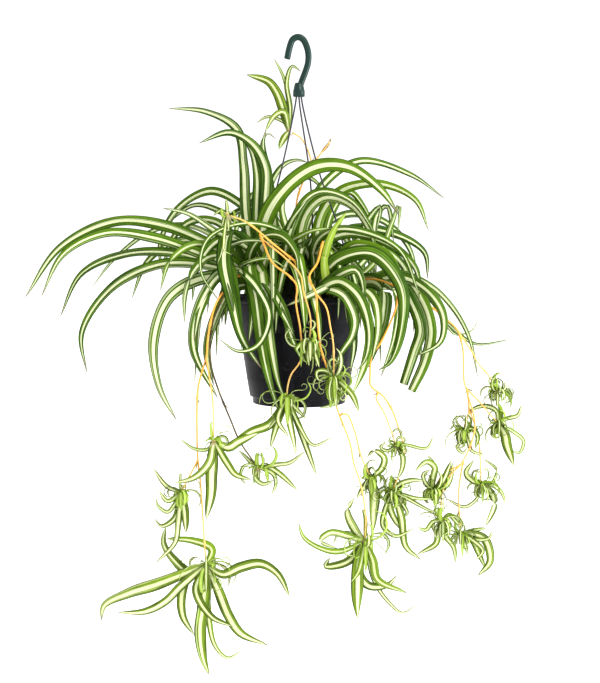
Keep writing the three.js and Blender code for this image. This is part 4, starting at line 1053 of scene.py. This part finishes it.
def runner_look(name, stops):
    """A smooth stem whose colour changes along its length, with small brown flecks."""
    shader = Shader(name)
    about, along, length, _ = shader.values("place")
    tint = shader.values("look")[0]
    ramp = shader.node("ValToRGB", {"Fac": along})
    for place, _ in stops[1:-1]:
        ramp.color_ramp.elements.new(place)
    for element, (_, colour) in zip(ramp.color_ramp.elements, stops):
        element.color = (*colour, 1.0)
    streaks = shader.noise((about * 6, length * 0.05, tint * 50), detail=3)
    flecks = shader.noise((about * 5, length * 0.4, tint))
    colour = shader.mix(shader.step(streaks, 0.45, 0.8) * 0.45, ramp.outputs["Color"], OLIVE_STREAK)
    colour = shader.mix(shader.step(flecks, 0.66, 0.74) * 0.6, colour, BROWN_FLECK)
    return shader.finish_leaf(colour, 0.12, Base_Color=colour, Roughness=0.38,
                              Normal=shader.bump(streaks, 0.2, 0.0003))


def bark_look(name, dark, light, scale, roughness=0.8, depth=0.001):
    """A crumbly surface for soil, root crowns, knobs and roots."""
    shader = Shader(name)
    place = shader.position()
    grains = shader.noise(place, scale, 4, 0.65)
    patches = shader.noise(place, scale * 0.2, 3)
    colour = shader.mix(shader.step(grains, 0.35, 0.68), dark, light)
    colour = shader.mix(shader.step(patches, 0.5, 0.7) * 0.4, colour, dark)
    return shader.finish_plain(Base_Color=colour, Roughness=roughness,
                               Normal=shader.bump(grains, 0.8, depth))


def hook_look():
    """Moulded green plastic with a dusty bloom and small scuffs."""
    shader = Shader("hook_green")
    place = shader.position()
    deep, dusty, scuffed = (0.003, 0.016, 0.012), (0.010, 0.044, 0.034), (0.07, 0.13, 0.115)
    bloom = shader.noise(place, 45, 3)
    scuffs = shader.noise(place, 420, 3, 0.7)
    colour = shader.mix(bloom, deep, dusty)
    colour = shader.mix(shader.step(scuffs, 0.62, 0.75) * 0.35, colour, scuffed)
    return shader.finish_plain(Base_Color=colour, Roughness=bloom * 0.22 + 0.24,
                               Normal=shader.bump(scuffs, 0.12, 0.0002), Specular_IOR_Level=0.35)


def wire_look():
    """Drawn wire, dull grey with a blue cast and darker stains."""
    shader = Shader("wire_grey")
    about, _, length, _ = shader.values("place")
    stained, drawn = (0.012, 0.012, 0.015), (0.09, 0.093, 0.11)
    stains = shader.noise((about, length * 0.08, 0.0), detail=4, roughness=0.6)
    colour = shader.mix(stains, stained, drawn)
    return shader.finish_plain(Base_Color=colour, Metallic=0.75, Roughness=stains * 0.3 + 0.25,
                               Normal=shader.bump(stains, 0.2, 0.0002))


def pot_look():
    """Black moulded plastic with dust, water marks and fine scratches."""
    shader = Shader("pot_black")
    place = shader.position()
    x, y, z = (Value(shader, socket) for socket in shader.node("SeparateXYZ", {"Vector": place}).outputs)
    black, watered = (0.005, 0.005, 0.007), (0.028, 0.030, 0.038)
    dusty, scratched = (0.075, 0.070, 0.065), (0.20, 0.20, 0.22)
    drips = shader.noise((x, y, z * 0.12), 90, 3, 0.6)
    dust = shader.noise(place, 38, 5, 0.7)
    scratches = shader.noise((x, y, z * 9), 160, 2, 0.7)
    colour = shader.mix(shader.step(drips, 0.5, 0.78) * 0.5, black, watered)
    colour = shader.mix(shader.step(dust, 0.55, 0.8) * 0.35, colour, dusty)
    colour = shader.mix(shader.step(scratches, 0.66, 0.72) * 0.25, colour, scratched)
    return shader.finish_plain(Base_Color=colour, Roughness=dust * 0.3 + 0.28,
                               Normal=shader.bump(scratches, 0.08, 0.0003), Specular_IOR_Level=0.14)


OLD_LEAF = leaf_look(
    "old_leaf", dark=(0.018, 0.058, 0.003), light=(0.150, 0.280, 0.014), centre=(0.74, 0.78, 0.50),
    tip=(0.16, 0.12, 0.08), stripe_from=0.05, stripe_more=0.24, soft=0.08, share=0.18)
YOUNG_LEAF = leaf_look(
    "young_leaf", dark=(0.040, 0.070, 0.010), light=(0.330, 0.480, 0.040), centre=(0.83, 0.87, 0.52),
    tip=(0.16, 0.13, 0.11), stripe_from=0.03, stripe_more=0.22, soft=0.26, share=0.24)
ORANGE_RUNNER = runner_look("orange_runner", [
    (0.0, (0.60, 0.28, 0.04)), (0.08, (0.86, 0.37, 0.05)), (0.4, (0.88, 0.44, 0.08)),
    (0.7, (0.86, 0.46, 0.11)), (1.0, (0.78, 0.52, 0.18))])
BROWN_RUNNER = runner_look("brown_runner", [
    (0.0, (0.16, 0.12, 0.03)), (0.3, (0.07, 0.045, 0.018)), (0.7, (0.05, 0.035, 0.015)),
    (1.0, (0.13, 0.10, 0.03))])
BROWN_BRACT = bark_look("brown_bract", (0.10, 0.045, 0.015), (0.34, 0.19, 0.07), 500)
KNOB = bark_look("knob", (0.26, 0.17, 0.06), (0.62, 0.56, 0.26), 420)
ROOT = bark_look("root", (0.42, 0.32, 0.18), (0.74, 0.64, 0.44), 600)
# The root crown's near-black colours are painted shade: they stand for the shade deep in the middle of the
# clump, not for the crown's own colour.
SHADE_DARK_CROWN = bark_look("root_crown_painted_shade", (0.010, 0.014, 0.004), (0.045, 0.060, 0.016), 200)
SOIL = bark_look("potting_mix", (0.010, 0.006, 0.004), (0.075, 0.045, 0.026), 260, 0.95, 0.003)
PERLITE = bark_look("perlite", (0.55, 0.53, 0.48), (0.80, 0.79, 0.75), 300)
HOOK = hook_look()
WIRE = wire_look()
POT = pot_look()


def lathe(profile, sides):
    """Rings of points for a profile given as radius and height."""
    angles = np.arange(sides) * 2 * math.pi / sides
    return np.array([[(r * math.cos(a), r * math.sin(a), z) for a in angles] for r, z in profile])


def bar_section():
    """The section of the hook's bar, whose bevels are rounded over a little."""
    deep, wide, bevel = 0.5 * HOOK_BAR["depth"], 0.5 * HOOK_BAR["width"], HOOK_BAR["bevel"]
    soft, corner = 0.35, 0.7
    section = []
    for x, y, side in [(deep, -wide, (0, 1)), (deep, wide, (-1, 0)), (-deep, wide, (0, -1)),
                       (-deep, -wide, (1, 0))]:
        side = np.array(side, float)
        back = np.array([-side[1], side[0]])
        start = np.array([x, y]) + side * bevel
        end = np.array([x, y]) + side * (2 * (wide if side[1] else deep) - bevel)
        section += [start + (back - side) * soft * corner, start + side * soft,
                    end - side * soft, end + (back + side) * soft * corner]
    return section


def hook():
    """The bevelled bar along the hook's bend, and the flared collar that holds the wires."""
    centre = spaced(HOOK_LINE, HOOK_SPANS)
    along = headings(centre)
    # the bar's tip is rounded over: place on the line, size of the section, and its shift
    ends = [(0, 0.72, -1.0), (0, 0.93, -0.35)]
    ends += [(index, 1.0, 0.0) for index in range(len(centre))]
    section = bar_section()
    rings = []
    for index, size, shift in ends:
        middle = centre[index] + along[index] * shift
        out = np.cross(-TO_VIEWER, along[index])
        rings.append([middle + (out * x - TO_VIEWER * y) * size for x, y in section])
    bag = Bag()
    bag.add_rings(rings, capped=True)
    radius, top, bottom = (HOOK_COLLAR[key] for key in ("radius", "top", "bottom"))
    profile = [(0, bottom + 2), (2, bottom + 2), (2.4, bottom), (radius - 0.8, bottom),
               (radius, bottom + 0.8), (radius, bottom + 8.2), (radius - 0.3, bottom + 9.2),
               (radius - 2.6, top - 0.6), (radius - 3.4, top), (0, top)]
    rings = lathe(profile, COLLAR_SIDES)
    # the collar's lower edge has a notch over each wire
    notch = {"half_angle": 14, "size": 0.82, "rise": 1.2, "below": bottom + 2}
    angles = np.degrees(np.arctan2(rings[4][:, 0], -rings[4][:, 1])) % 360
    for ring in rings[3:6]:
        for corner, angle in enumerate(angles):
            nearest = min(abs((angle - ear + 180) % 360 - 180) for ear in EAR_ANGLES)
            if ring[corner][2] < notch["below"] and nearest < notch["half_angle"]:
                ring[corner, :2] *= notch["size"]
                ring[corner, 2] += notch["rise"]
    bag.add_rings(rings)
    bag.piece("green_hook", [HOOK], ["hook"])


def wires():
    """The three wires, whose ends are bent outwards and up below the ears."""
    for index in range(len(EAR_ANGLES)):
        line = spaced(wire_points(index), WIRE_SPANS)
        out = outward(EAR_ANGLES[index])
        bend = [(0, 0), (0.9, -1.6), (2.6, -2.2), (4.2, -1.2), (4.9, 0.6)]  # outwards and up
        end = spaced([line[-1] + out * x + UP * z for x, z in bend], 10)
        bag = Bag()
        add_tube(bag, np.vstack([line[:-1], end]), WIRE_RADIUS, (0.5, 0, 0, 0), sides=12)
        bag.piece(f"wire_{index + 1}", [WIRE], [f"hanger_wire_{index + 1}"])


def pot():
    """The pot with its foot, faint ribs between the zones of its wall, rim and ears."""
    z, radius, foot, step = (POT_BOTTOM[key] for key in ("z", "radius", "foot", "step"))
    rim, top, lip, flange = (RIM[key] for key in ("radius", "top", "lip", "flange"))
    wall_low, wall_high = z + step, top - lip
    profile = [(0, z + 1.2), (foot - 9, z + 1.2), (foot - 8, z), (foot, z), (foot + 0.8, z + 0.5),
               (foot + 1, z + 1.4), (foot + 1, wall_low - 2.6), (foot + 1.5, wall_low - 1.6),
               (radius - 0.6, wall_low - 0.3), (radius, wall_low + 0.6)]
    ribs = 5
    for rib in range(ribs):
        for part, bulge in ((0.86, 0.0), (0.93, 0.3), (1.0, 0.0)):
            share = (rib + part) / ribs
            profile.append((radius + share * (rim - radius) + bulge,
                            wall_low + share * (wall_high - wall_low)))
    outer, inner, inner_foot = rim + flange, rim - POT_WALL, foot - POT_WALL
    profile += [(outer - 0.9, wall_high + 0.3), (outer, wall_high + 1.2), (outer, top - 1.2),
                (outer - 0.5, top - 0.3), (outer - 1.4, top), (inner + 0.9, top), (inner, top - 0.8),
                (radius - POT_WALL, wall_low + 1), (inner_foot, wall_low - 2),
                (inner_foot, z + POT_WALL), (0, z + POT_WALL)]
    bag = Bag()
    bag.add_rings(lathe(profile, ROUND_SIDES))
    for angle in EAR_ANGLES:
        ear(bag, angle)
    bag.piece("black_pot", [POT], ["pot"])


def ear(bag, angle):
    """A flat lug with a round end and a round hole for its wire."""
    out = outward(angle)
    side = np.array([-out[1], out[0], 0.0])
    eye, hole = EAR["eye"], EAR["hole"]
    half, high = 0.5 * EAR["width"], RIM["top"] - EAR["drop"]
    low = high - EAR["thickness"]
    start = RIM["radius"] + RIM["flange"]
    inwards, outwards = eye - start + 1.5, start + EAR["reach"] - eye
    edge, bore = [], []
    for step in range(EAR_SIDES):
        x, y = math.cos(2 * math.pi * step / EAR_SIDES), math.sin(2 * math.pi * step / EAR_SIDES)
        ahead = outwards if x > 0 else inwards
        scale = min(half / max(1e-6, abs(y)), ahead / max(1e-6, abs(x)))
        corner = (x**4 + y**4) ** -0.25
        reach = min(scale, ahead * corner) if x > 0 else scale
        edge.append((eye + x * reach, y * min(scale, half * corner)))
        bore.append((eye + hole * x, hole * y))
    levels = [(bore, high), (edge, high), (edge, low), (bore, low), (bore, high)]
    bag.add_rings([[out * x + side * y + UP * z for x, y in outline] for outline, z in levels])


def soil():
    """Potting mix with a crumbled surface and white perlite grains."""
    base = POT_BOTTOM["z"] + POT_BOTTOM["step"]
    play = POT_WALL + 3 * GAP

    def wall(z):
        share = min(1, max(0, (z - base) / (RIM["top"] - RIM["lip"] - base)))
        return POT_BOTTOM["radius"] + share * (RIM["radius"] - POT_BOTTOM["radius"]) - play

    bed = POT_BOTTOM["z"] + POT_WALL + GAP
    foot = POT_BOTTOM["foot"] - POT_WALL - 2 * GAP
    edge, hole = wall(SOIL_TOP) - 1, CROWN_HOLE["radius"]
    hole_bottom = SOIL_TOP - CROWN_HOLE["depth"]
    steps = 9
    body = [(0, bed), (foot, bed), (foot, base - 1), (wall(base + 2), base + 4), (edge, SOIL_TOP - 2)]
    top = [(edge + (hole - edge) * step / steps, SOIL_TOP) for step in range(1, steps + 1)]
    rings = lathe(body + top + [(hole, hole_bottom), (0, hole_bottom)], ROUND_SIDES)
    random = Random(SEEDS["soil"])
    for ring in rings[len(body):len(body) + steps - 1]:
        for corner in range(ROUND_SIDES):
            ring[corner, 2] += random(-1.2, 1.2)
            ring[corner, :2] *= random(0.994, 1.006)
    bag = Bag()
    bag.add_rings(rings)
    grain = lathe([(0.01, -1), (0.8, -0.5), (0.95, 0.35), (0.4, 0.9), (0.01, 1)], 7)
    for _ in range(PERLITE_GRAINS):
        turn = random(0, 2 * math.pi)
        centre = around(turn) * (hole + 2 + (edge - hole - 5) * random()) + UP * (SOIL_TOP + 0.6)
        size = random(0.6, 1.7)
        wobble = np.array([random(0.75, 1.25) for _ in range(grain.size // 3)])
        rings = grain * wobble.reshape(grain.shape[:2])[..., None] * size + centre
        bag.add_rings(rings, slot=1 if random() < 0.4 else 0)
    bag.piece("soil_bed", [SOIL, PERLITE], ["soil"])


def leaf_line(points, width, random):
    """The whole line of a long leaf, from the nearest crown to its tip."""
    x, y = min(CROWNS, key=lambda crown: math.hypot(crown[0] - points[0][0], crown[1] - points[0][1]))
    start = [x + random(-LEAF_SPREAD, LEAF_SPREAD), y + random(-LEAF_SPREAD, LEAF_SPREAD), CROWN_TOP - 8]
    steps = max(5, int(curve_length([start, *points]) / LEAF_STEP + 0.5))
    return bent_curve([start, *points], steps, width, 1)


def arch(crown, follow, reach, angle, drift, places):
    """Points over a crown: each has a share of the reach and a height over the crown.

    The leaf drifts sideways on its way. The share called follow is how much of the crown's own
    distance from the pot's axis it has left behind at its tip."""
    points = []
    for share, height in places:
        kept = 1 - follow * share
        step = reach * share * around(angle + drift * share)
        points.append([crown[0] * kept + step[0], crown[1] * kept + step[1], CROWN_TOP + height])
    return points


def back_leaf(index, random):
    """A leaf of the clump's back, as in the part's source."""
    count, first, last = BACK_LEAVES["count"], BACK_LEAVES["from"], BACK_LEAVES["to"]
    angle = math.radians(first + (last - first) * (index + random(0.2, 0.8)) / count)
    reach = random(130, 220) + 40 * (1 - abs(math.cos(angle)))
    drift = random(-0.35, 0.35)
    peak = random(40, 150)
    fall = random(90, 220)
    width = random(11, 16)
    places = [(0.3, 0.8 * peak + 12), (0.62, peak + 14), (0.9, peak - 0.35 * fall), (1, peak - fall)]
    return width, arch(CROWNS[2], 0, reach, angle, drift, places)


def inner_leaf(index, random):
    """A short leaf low in the clump, which ends inside the pot's rim or just past it."""
    angle = LEAF_TURN * index + random(0, 0.5)
    over_rim = random() < 0.6
    reach = random(112, 138) if over_rim else random(45, 85)
    peak = random(34, 80)
    fall = peak + (random(22, 46) if over_rim else random(0, -30))
    drift = random(-0.45, 0.45)
    width = random(10, 17)
    places = [(0.3, 0.75 * peak), (0.62, peak), (0.88, peak - 0.4 * fall), (1, peak - fall)]
    return width, arch(CROWNS[index % 3], 1, reach, angle, drift, places)


def leaf_values(looks, young=False):
    """Tint, width of the pale stripe, youth and wear of one leaf."""
    stripe = 0.1 + 0.9 * max(looks(), looks())
    tint = looks()
    youth = 0.9 if young else looks(0, 0.55)
    return tint, stripe, youth, looks()


def undried(values):
    """The values of a leaf whose end isn't dry."""
    return (*values[:3], -0.2)


def long_leaves(looks):
    """The leaves whose lines the solid follows too."""
    random = Random(BACK_LEAVES["seed"])
    bag = Bag()
    for width, *points in LEAVES:
        line = leaf_line(points, width, random)
        in_front = points[-1][1] < FRONT_FROM
        broader = BLADES_BROADER["front" if in_front else "long"]
        add_blade(bag, line, broader * width, leaf_values(looks), roll=looks(46, 70),
                  twist=looks(-15, 15), face=0.75 if in_front else 0.6, keel=looks(0.06, 0.14),
                  steady=in_front)
    *straight, folded = CUT_LEAVES
    for width, *points in straight:
        line = leaf_line(points, width, random)
        add_blade(bag, line, BLADES_BROADER["cut"] * width, undried(leaf_values(looks)), roll=40,
                  face=0.7, cut=True)
    add_folded_leaf(bag, folded, looks, random)
    for index in range(BACK_LEAVES["count"]):
        width, points = back_leaf(index, random)
        line = leaf_line(points, width, random)
        add_blade(bag, line, width, leaf_values(looks), roll=30, twist=looks(-15, 15))
    bag.piece("long_leaves", [OLD_LEAF], ["mother_plant"])


def add_folded_leaf(bag, leaf, looks, random):
    """A bright broad leaf that is folded across, with its narrow end standing up behind the fold."""
    width, *points = leaf
    line = leaf_line(points, width, random)
    fold = int(0.66 * len(line))
    add_blade(bag, line[:fold], 0.9 * width, undried(leaf_values(looks, young=True)), face=0.9, cut=True)
    behind = line[fold - 9:] + np.array([1.0, 3.0, 0.0])
    add_blade(bag, behind, 0.72 * width, leaf_values(looks, young=True), face=0.9)


def inner_leaves(looks):
    """The leaves that close the clump, with the root crown and the bases of all its leaves."""
    random = Random(SEEDS["inner_leaves"])
    bag = Bag()
    for index in range(INNER_LEAVES):
        width, points = inner_leaf(index, random)
        line = leaf_line(points, width, random)
        add_blade(bag, line, width, leaf_values(looks), roll=40, twist=looks(-20, 20),
                  face=looks(0, 0.5))
    for width, *points in FRONT_LEAVES:
        line = leaf_line(points, width, random)
        add_blade(bag, line, width, leaf_values(looks), roll=40, face=0.8, keel=0.08, steady=True)
    add_leaf_bases(bag, looks)
    # The second material is the root crown's, whose near-black colour is painted shade.
    bag.piece("inner_leaves", [OLD_LEAF, SHADE_DARK_CROWN], ["mother_plant"])


def add_leaf_bases(bag, looks):
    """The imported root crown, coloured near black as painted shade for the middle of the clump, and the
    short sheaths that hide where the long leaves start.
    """
    radius, base = CROWN_HOLE["radius"] - GAP, SOIL_TOP - CROWN_HOLE["depth"] + GAP
    profile = [(0, base), (radius, base), (radius, SOIL_TOP + 2), (radius - 3, CROWN_TOP),
               (radius - 9, CROWN_TOP + 18), (34, CROWN_TOP + 36), (18, CROWN_TOP + 43),
               (0.01, CROWN_TOP + 46)]
    rings = lathe(profile, COLLAR_SIDES)
    for ring in rings[2:-1]:
        ring[:, :2] *= np.array([[looks(0.94, 1)] for _ in range(COLLAR_SIDES)])
    # The crown takes the second material, a near-black painted shade.
    bag.add_rings(rings, slot=1)
    for index in range(CROWN_SHEATHS):
        out = around(LEAF_TURN * index)
        lean = looks(0.15, 0.9)
        start = np.array([*CROWNS[index % 3], CROWN_TOP + 2]) + out * looks(0, 14)
        length = looks(55, 110)
        middle = start + (out * 0.3 * math.sin(lean) + UP * 0.62) * length
        tip = start + (out * math.sin(lean) + UP * math.cos(lean)) * length
        add_blade(bag, spaced([start, middle, tip], 12), looks(8, 14), leaf_values(looks, index % 9 == 0),
                  keel=0.25, roll=10)


def stub_line(strand):
    """The start of a runner, from the root crown to its first point in the open."""
    start, following = curve_points(strand_points(strand), [0.0, 0.001])
    before = start + unit(start - following) * (2 * GAP + STUB_LEAD)
    foot = np.array([0.3 * start[0], 0.2 * start[1], 0.0])
    foot *= min(1, STUB_ROOT / np.linalg.norm(foot))
    foot[2] = CROWN_TOP - 6
    middle = foot + (before - foot) * 0.55
    middle[2] = max(middle[2], RIM["top"] + STUB_RISE)
    return np.array([foot, middle, before, start])


def add_bract(bag, place, heading, size, look, slot):
    """A short pointed scale at a joint of a runner."""
    away = unit(np.cross(heading, [0.4, 1.0, 0.3])) * (1 if look[0] > 0.5 else -1)
    points = [place + (heading * ahead + away * aside) * size for ahead, aside in
              [(0, 0), (0.45, 0.14), (1, 0.4)]]
    add_blade(bag, spaced(points, 8), 0.28 * size, look, keel=0.35, roll=20, slot=slot)


def add_strand(bag, strand, parents, dry, looks):
    """One strand of a runner, with a swelling and a bract at each of its joints."""
    points = branch_points(strand, parents) if parents else strand_points(strand)
    length = curve_length(points)
    line = spaced(points, max(6, int(length / 5)))
    if not parents:
        line = np.vstack([spaced(stub_line(strand), 18)[:-1], line])
    joints = np.concatenate([[0.0], np.arange(looks(70, 110), length - 25, JOINT_SPACING)])
    # lengths along a runner are measured from the end of its start in the clump
    lengths = line_lengths(line)
    lengths -= lengths[-1] - length
    swell = sum(np.exp(-((lengths - joint) / JOINT_LENGTH) ** 2) for joint in joints)
    share = np.clip(lengths / max(length, 1), 0 if parents else -0.15, 1)
    stout = BRANCH_STOUT if parents else 1.0
    taper = 1.05 - 0.2 * np.clip(share, 0, 1)
    radii = stout * RUNNER_RADIUS * taper * (1 + JOINT_SWELL * swell)
    # a branch takes the colours of the runner's outer end
    shares = 0.6 + 0.4 * share if parents else np.clip(0.1 + 0.9 * share, 0, 1)
    add_tube(bag, line, radii, (looks(), 0, 0, 0), sides=10, shares=shares)
    for joint in joints:
        at = int(np.argmin(np.abs(lengths - joint)))
        heading = unit(line[min(at + 1, len(line) - 1)] - line[max(at - 1, 0)])
        slot = 2 if dry or looks() < 0.45 else 1
        add_bract(bag, line[at], heading, looks(6, 13), (looks(), 0.4, 0.2, looks()), slot)
    if not strand[0]:
        # a strand without a plantlet ends in a dry curved scale
        scale = spaced([line[-5], line[-1], line[-1] + np.array([1.0, 0.0, 6.0])], 10)
        add_blade(bag, scale, 5, (0.7, 0.4, 0.2, 0.5), face=0.8, slot=2)


def runner(name, strands):
    """A runner with its branches, as one piece."""
    looks = Random(SEEDS["runner"] + SEEDS["runner_letter"] * len(name))
    bag = Bag()
    brown = name == "runner_brown"
    for index, strand in enumerate(strands):
        add_strand(bag, strand, strands[:index], brown, looks)
    stem = BROWN_RUNNER if brown else ORANGE_RUNNER
    bag.piece(name.replace("runner", "stem"), [stem, YOUNG_LEAF, BROWN_BRACT], [name])


def curled_line(base, index, reach, random):
    """A leaf of a plantlet that curls over more and more towards its tip."""
    turn = LEAF_TURN * index + random(0, 0.6)
    lift = random(0.9, -0.6)
    bend = random(2, 5)
    if random() < 0.3:
        bend = -bend
    length = reach * random(1.1, 2)
    steps = 4
    points = [base]
    for step in range(steps):
        heading = lift - bend * ((step + 0.5) / steps) ** 1.5
        ahead = math.cos(heading) * around(turn) + math.sin(heading) * UP
        points.append(points[-1] + ahead * length / steps)
    return np.array(points)


def coil_line(base, index, reach, random):
    """A narrow leaf that leads away from the base and ends in a loose ring."""
    turn = LEAF_TURN * index + random(0, 1.2)
    side = unit(np.array([math.cos(turn), 0.35 * math.sin(turn), 0.6 * math.sin(turn)]))
    centre = base + side * reach * random(0.55, 1) + UP * random(-3, 3)
    radius = random(5, 9.5)
    spin = 1 if random() < 0.5 else -1
    first = math.atan2(base[2] - centre[2], base[0] - centre[0]) + spin * 1.1
    points = [base, base + (centre - base) * 0.4 + UP * 3 * spin]
    for step in range(COIL_POINTS):
        angle = first + spin * step * COIL_TURN
        small = radius * (1 - COIL_SHRINK * step)
        depth = COIL_DEPTH * step * (1 if index % 2 else -1)
        points.append(centre + np.array([small * math.cos(angle), depth, small * math.sin(angle)]))
    return np.array(points)


def hanging_line(base, index, reach, random):
    """A leaf of a plantlet that steps out from the base and hangs down."""
    drop = reach * random(0.9, 1.7)
    out = around(LEAF_TURN * index) * random(5, 13)
    return np.array([base, base + 0.7 * out + UP * 2, base + out - UP * 0.5 * drop,
                     base + 1.1 * out - UP * drop])


def plantlet(name, seed):
    """A young plant: striped leaves around a knob with short roots."""
    values = PLANTLETS[name]
    base, reach = np.array(values["base"], float), values["reach"]
    curls, coils, hanging = values["extras"]
    random = Random(seed)
    looks = Random(seed + SEEDS["plantlet_looks"])
    extra = Random(seed + SEEDS["plantlet_extras"])
    bag = Bag()

    def add_leaf(line, steps, width, first_free=0.3, broader=1.0, young=False, keel=0.1, **turns):
        line = bent_curve(line, steps, width, first_free, PLANTLET_RING)
        add_blade(bag, line, broader * width, leaf_values(looks, young), keel=keel, steady=True, **turns)

    for width, *points in values["leaves"]:
        steps = min(5, max(3, int(curve_length([base, *points]) / PLANTLET_STEP + 0.5)))
        add_leaf([base, *points], steps, width, broader=BLADES_BROADER["plantlet"], roll=50, face=0.7)
    for index in range(values["curls"]):
        width = random(4, 6)
        add_leaf(curled_line(base, index, reach, random), 4, width, roll=50)
    for index in range(hanging):
        line = hanging_line(base, index, reach, extra)
        width = extra(4.5, 8)
        add_leaf(line, 3, width, young=extra() < 0.5, keel=0.12, face=0.5)
    for index in range(curls):
        width = extra(3.4, 7)
        line = curled_line(base, index + 20, EXTRA_REACH * reach, extra)
        add_leaf(line, 4, width, young=index % 3 == 0, roll=50)
    for index in range(coils):
        width = extra(2.6, 4.4)
        add_leaf(coil_line(base, index, EXTRA_REACH * reach, extra), 8, width, first_free=0.6, roll=30)
    if curls > 1:
        add_knob_sheaths(bag, base, looks, extra)
    add_knob(bag, base, looks)
    bag.piece(name.replace("plantlet", "young_plant"), [YOUNG_LEAF, KNOB, ROOT], [name])


def add_knob_sheaths(bag, base, looks, extra):
    """Short bright leaves that stand out from a plantlet's knob."""
    for index in range(KNOB_SHEATHS):
        turn = LEAF_TURN * index
        out = around(turn, 0.3 * math.sin(3 * turn))
        size = extra(8, 15)
        line = spaced([base, base + (0.4 * out + 0.2 * UP) * size, base + out * size], 6)
        add_blade(bag, line, extra(4, 6), leaf_values(looks, young=True), keel=0.3, roll=40)


def add_knob(bag, base, looks):
    """The knob in the middle of a plantlet, and its short roots."""
    profile = [(0.01, -1), (0.5, -0.88), (0.85, -0.5), (1, 0), (0.86, 0.5), (0.5, 0.88), (0.01, 1)]
    knob = lathe(profile, 14)
    wobble = np.array([looks(0.9, 1.1) for _ in range(knob.size // 3)]).reshape(knob.shape[:2])
    bag.add_rings(knob * wobble[..., None] * PLANTLET_KNOB * 0.62 + base, slot=1)
    for index in range(KNOB_ROOTS):
        out = around(LEAF_TURN * index)
        size = looks(5, 12)
        line = spaced([base - UP * 2, base + (0.35 * out - 0.5 * UP) * size,
                       base + (looks(0.3, 0.7) * out - UP) * size], 6)
        add_tube(bag, line, np.linspace(0.7, 0.3, 7), (looks(), 0, 0, 0), sides=6, slot=2)


def studio():
    """A white surround, a pale floor well below the plant, and soft lights."""
    world = bpy.data.worlds.new("surround")
    world.use_nodes = True
    world.node_tree.nodes["Background"].inputs["Color"].default_value = (1.0, 1.0, 1.0, 1.0)
    world.node_tree.nodes["Background"].inputs["Strength"].default_value = 1.0
    bpy.context.scene.world = world
    bpy.ops.mesh.primitive_plane_add(size=FLOOR_SIZE, location=(0, 0, FLOOR_Z))
    floor = bpy.context.object
    floor.name = "floor"
    shader = Shader("pale_floor")
    grain = shader.noise(shader.position(), 6, 3)
    pale = shader.mix(grain, (0.93, 0.93, 0.93), (0.97, 0.97, 0.97))
    floor.data.materials.append(shader.finish_plain(Base_Color=pale, Roughness=0.9))
    sun = bpy.data.lights.new("high_sun", "SUN")
    sun.energy = 1.8
    sun.angle = math.radians(35)
    sun.color = (1.0, 0.98, 0.93)
    place_light(sun, (1.2, -1.5, 1.6))
    side = bpy.data.lights.new("side_window", "AREA")
    side.energy = 34
    side.size = 1.2
    side.color = (0.90, 0.95, 1.0)
    place_light(side, (1.9, -0.6, -0.2))


def place_light(light, place):
    lamp = bpy.data.objects.new(light.name, light)
    bpy.context.scene.collection.objects.link(lamp)
    lamp.location = place
    aim = Vector(CAMERA_TARGET) - Vector(place)
    lamp.rotation_euler = aim.to_track_quat("-Z", "Y").to_euler()


def camera():
    data = bpy.data.cameras.new("view")
    data.sensor_fit = "VERTICAL"
    data.sensor_width = SENSOR
    data.sensor_height = SENSOR
    data.lens = FOCAL_PIXELS * SENSOR / IMAGE_HEIGHT
    view = bpy.data.objects.new("view", data)
    bpy.context.scene.collection.objects.link(view)
    tilt = math.radians(CAMERA_ELEVATION)
    target = Vector(CAMERA_TARGET)
    view.location = target + CAMERA_DISTANCE * Vector((0, -math.cos(tilt), math.sin(tilt)))
    view.rotation_euler = (target - view.location).to_track_quat("-Z", "Y").to_euler()
    bpy.context.scene.camera = view


hook()
wires()
pot()
soil()
clump_looks = Random(SEEDS["clump_looks"])
long_leaves(clump_looks)
inner_leaves(clump_looks)
for name, strands in RUNNERS.items():
    runner(name, strands)
for index, name in enumerate(PLANTLETS):
    plantlet(name, SEEDS["plantlet"] + SEEDS["plantlet_step"] * index)
studio()
camera()
bpy.context.scene.view_settings.view_transform = "Standard"
bpy.context.scene.view_settings.look = "Medium High Contrast"
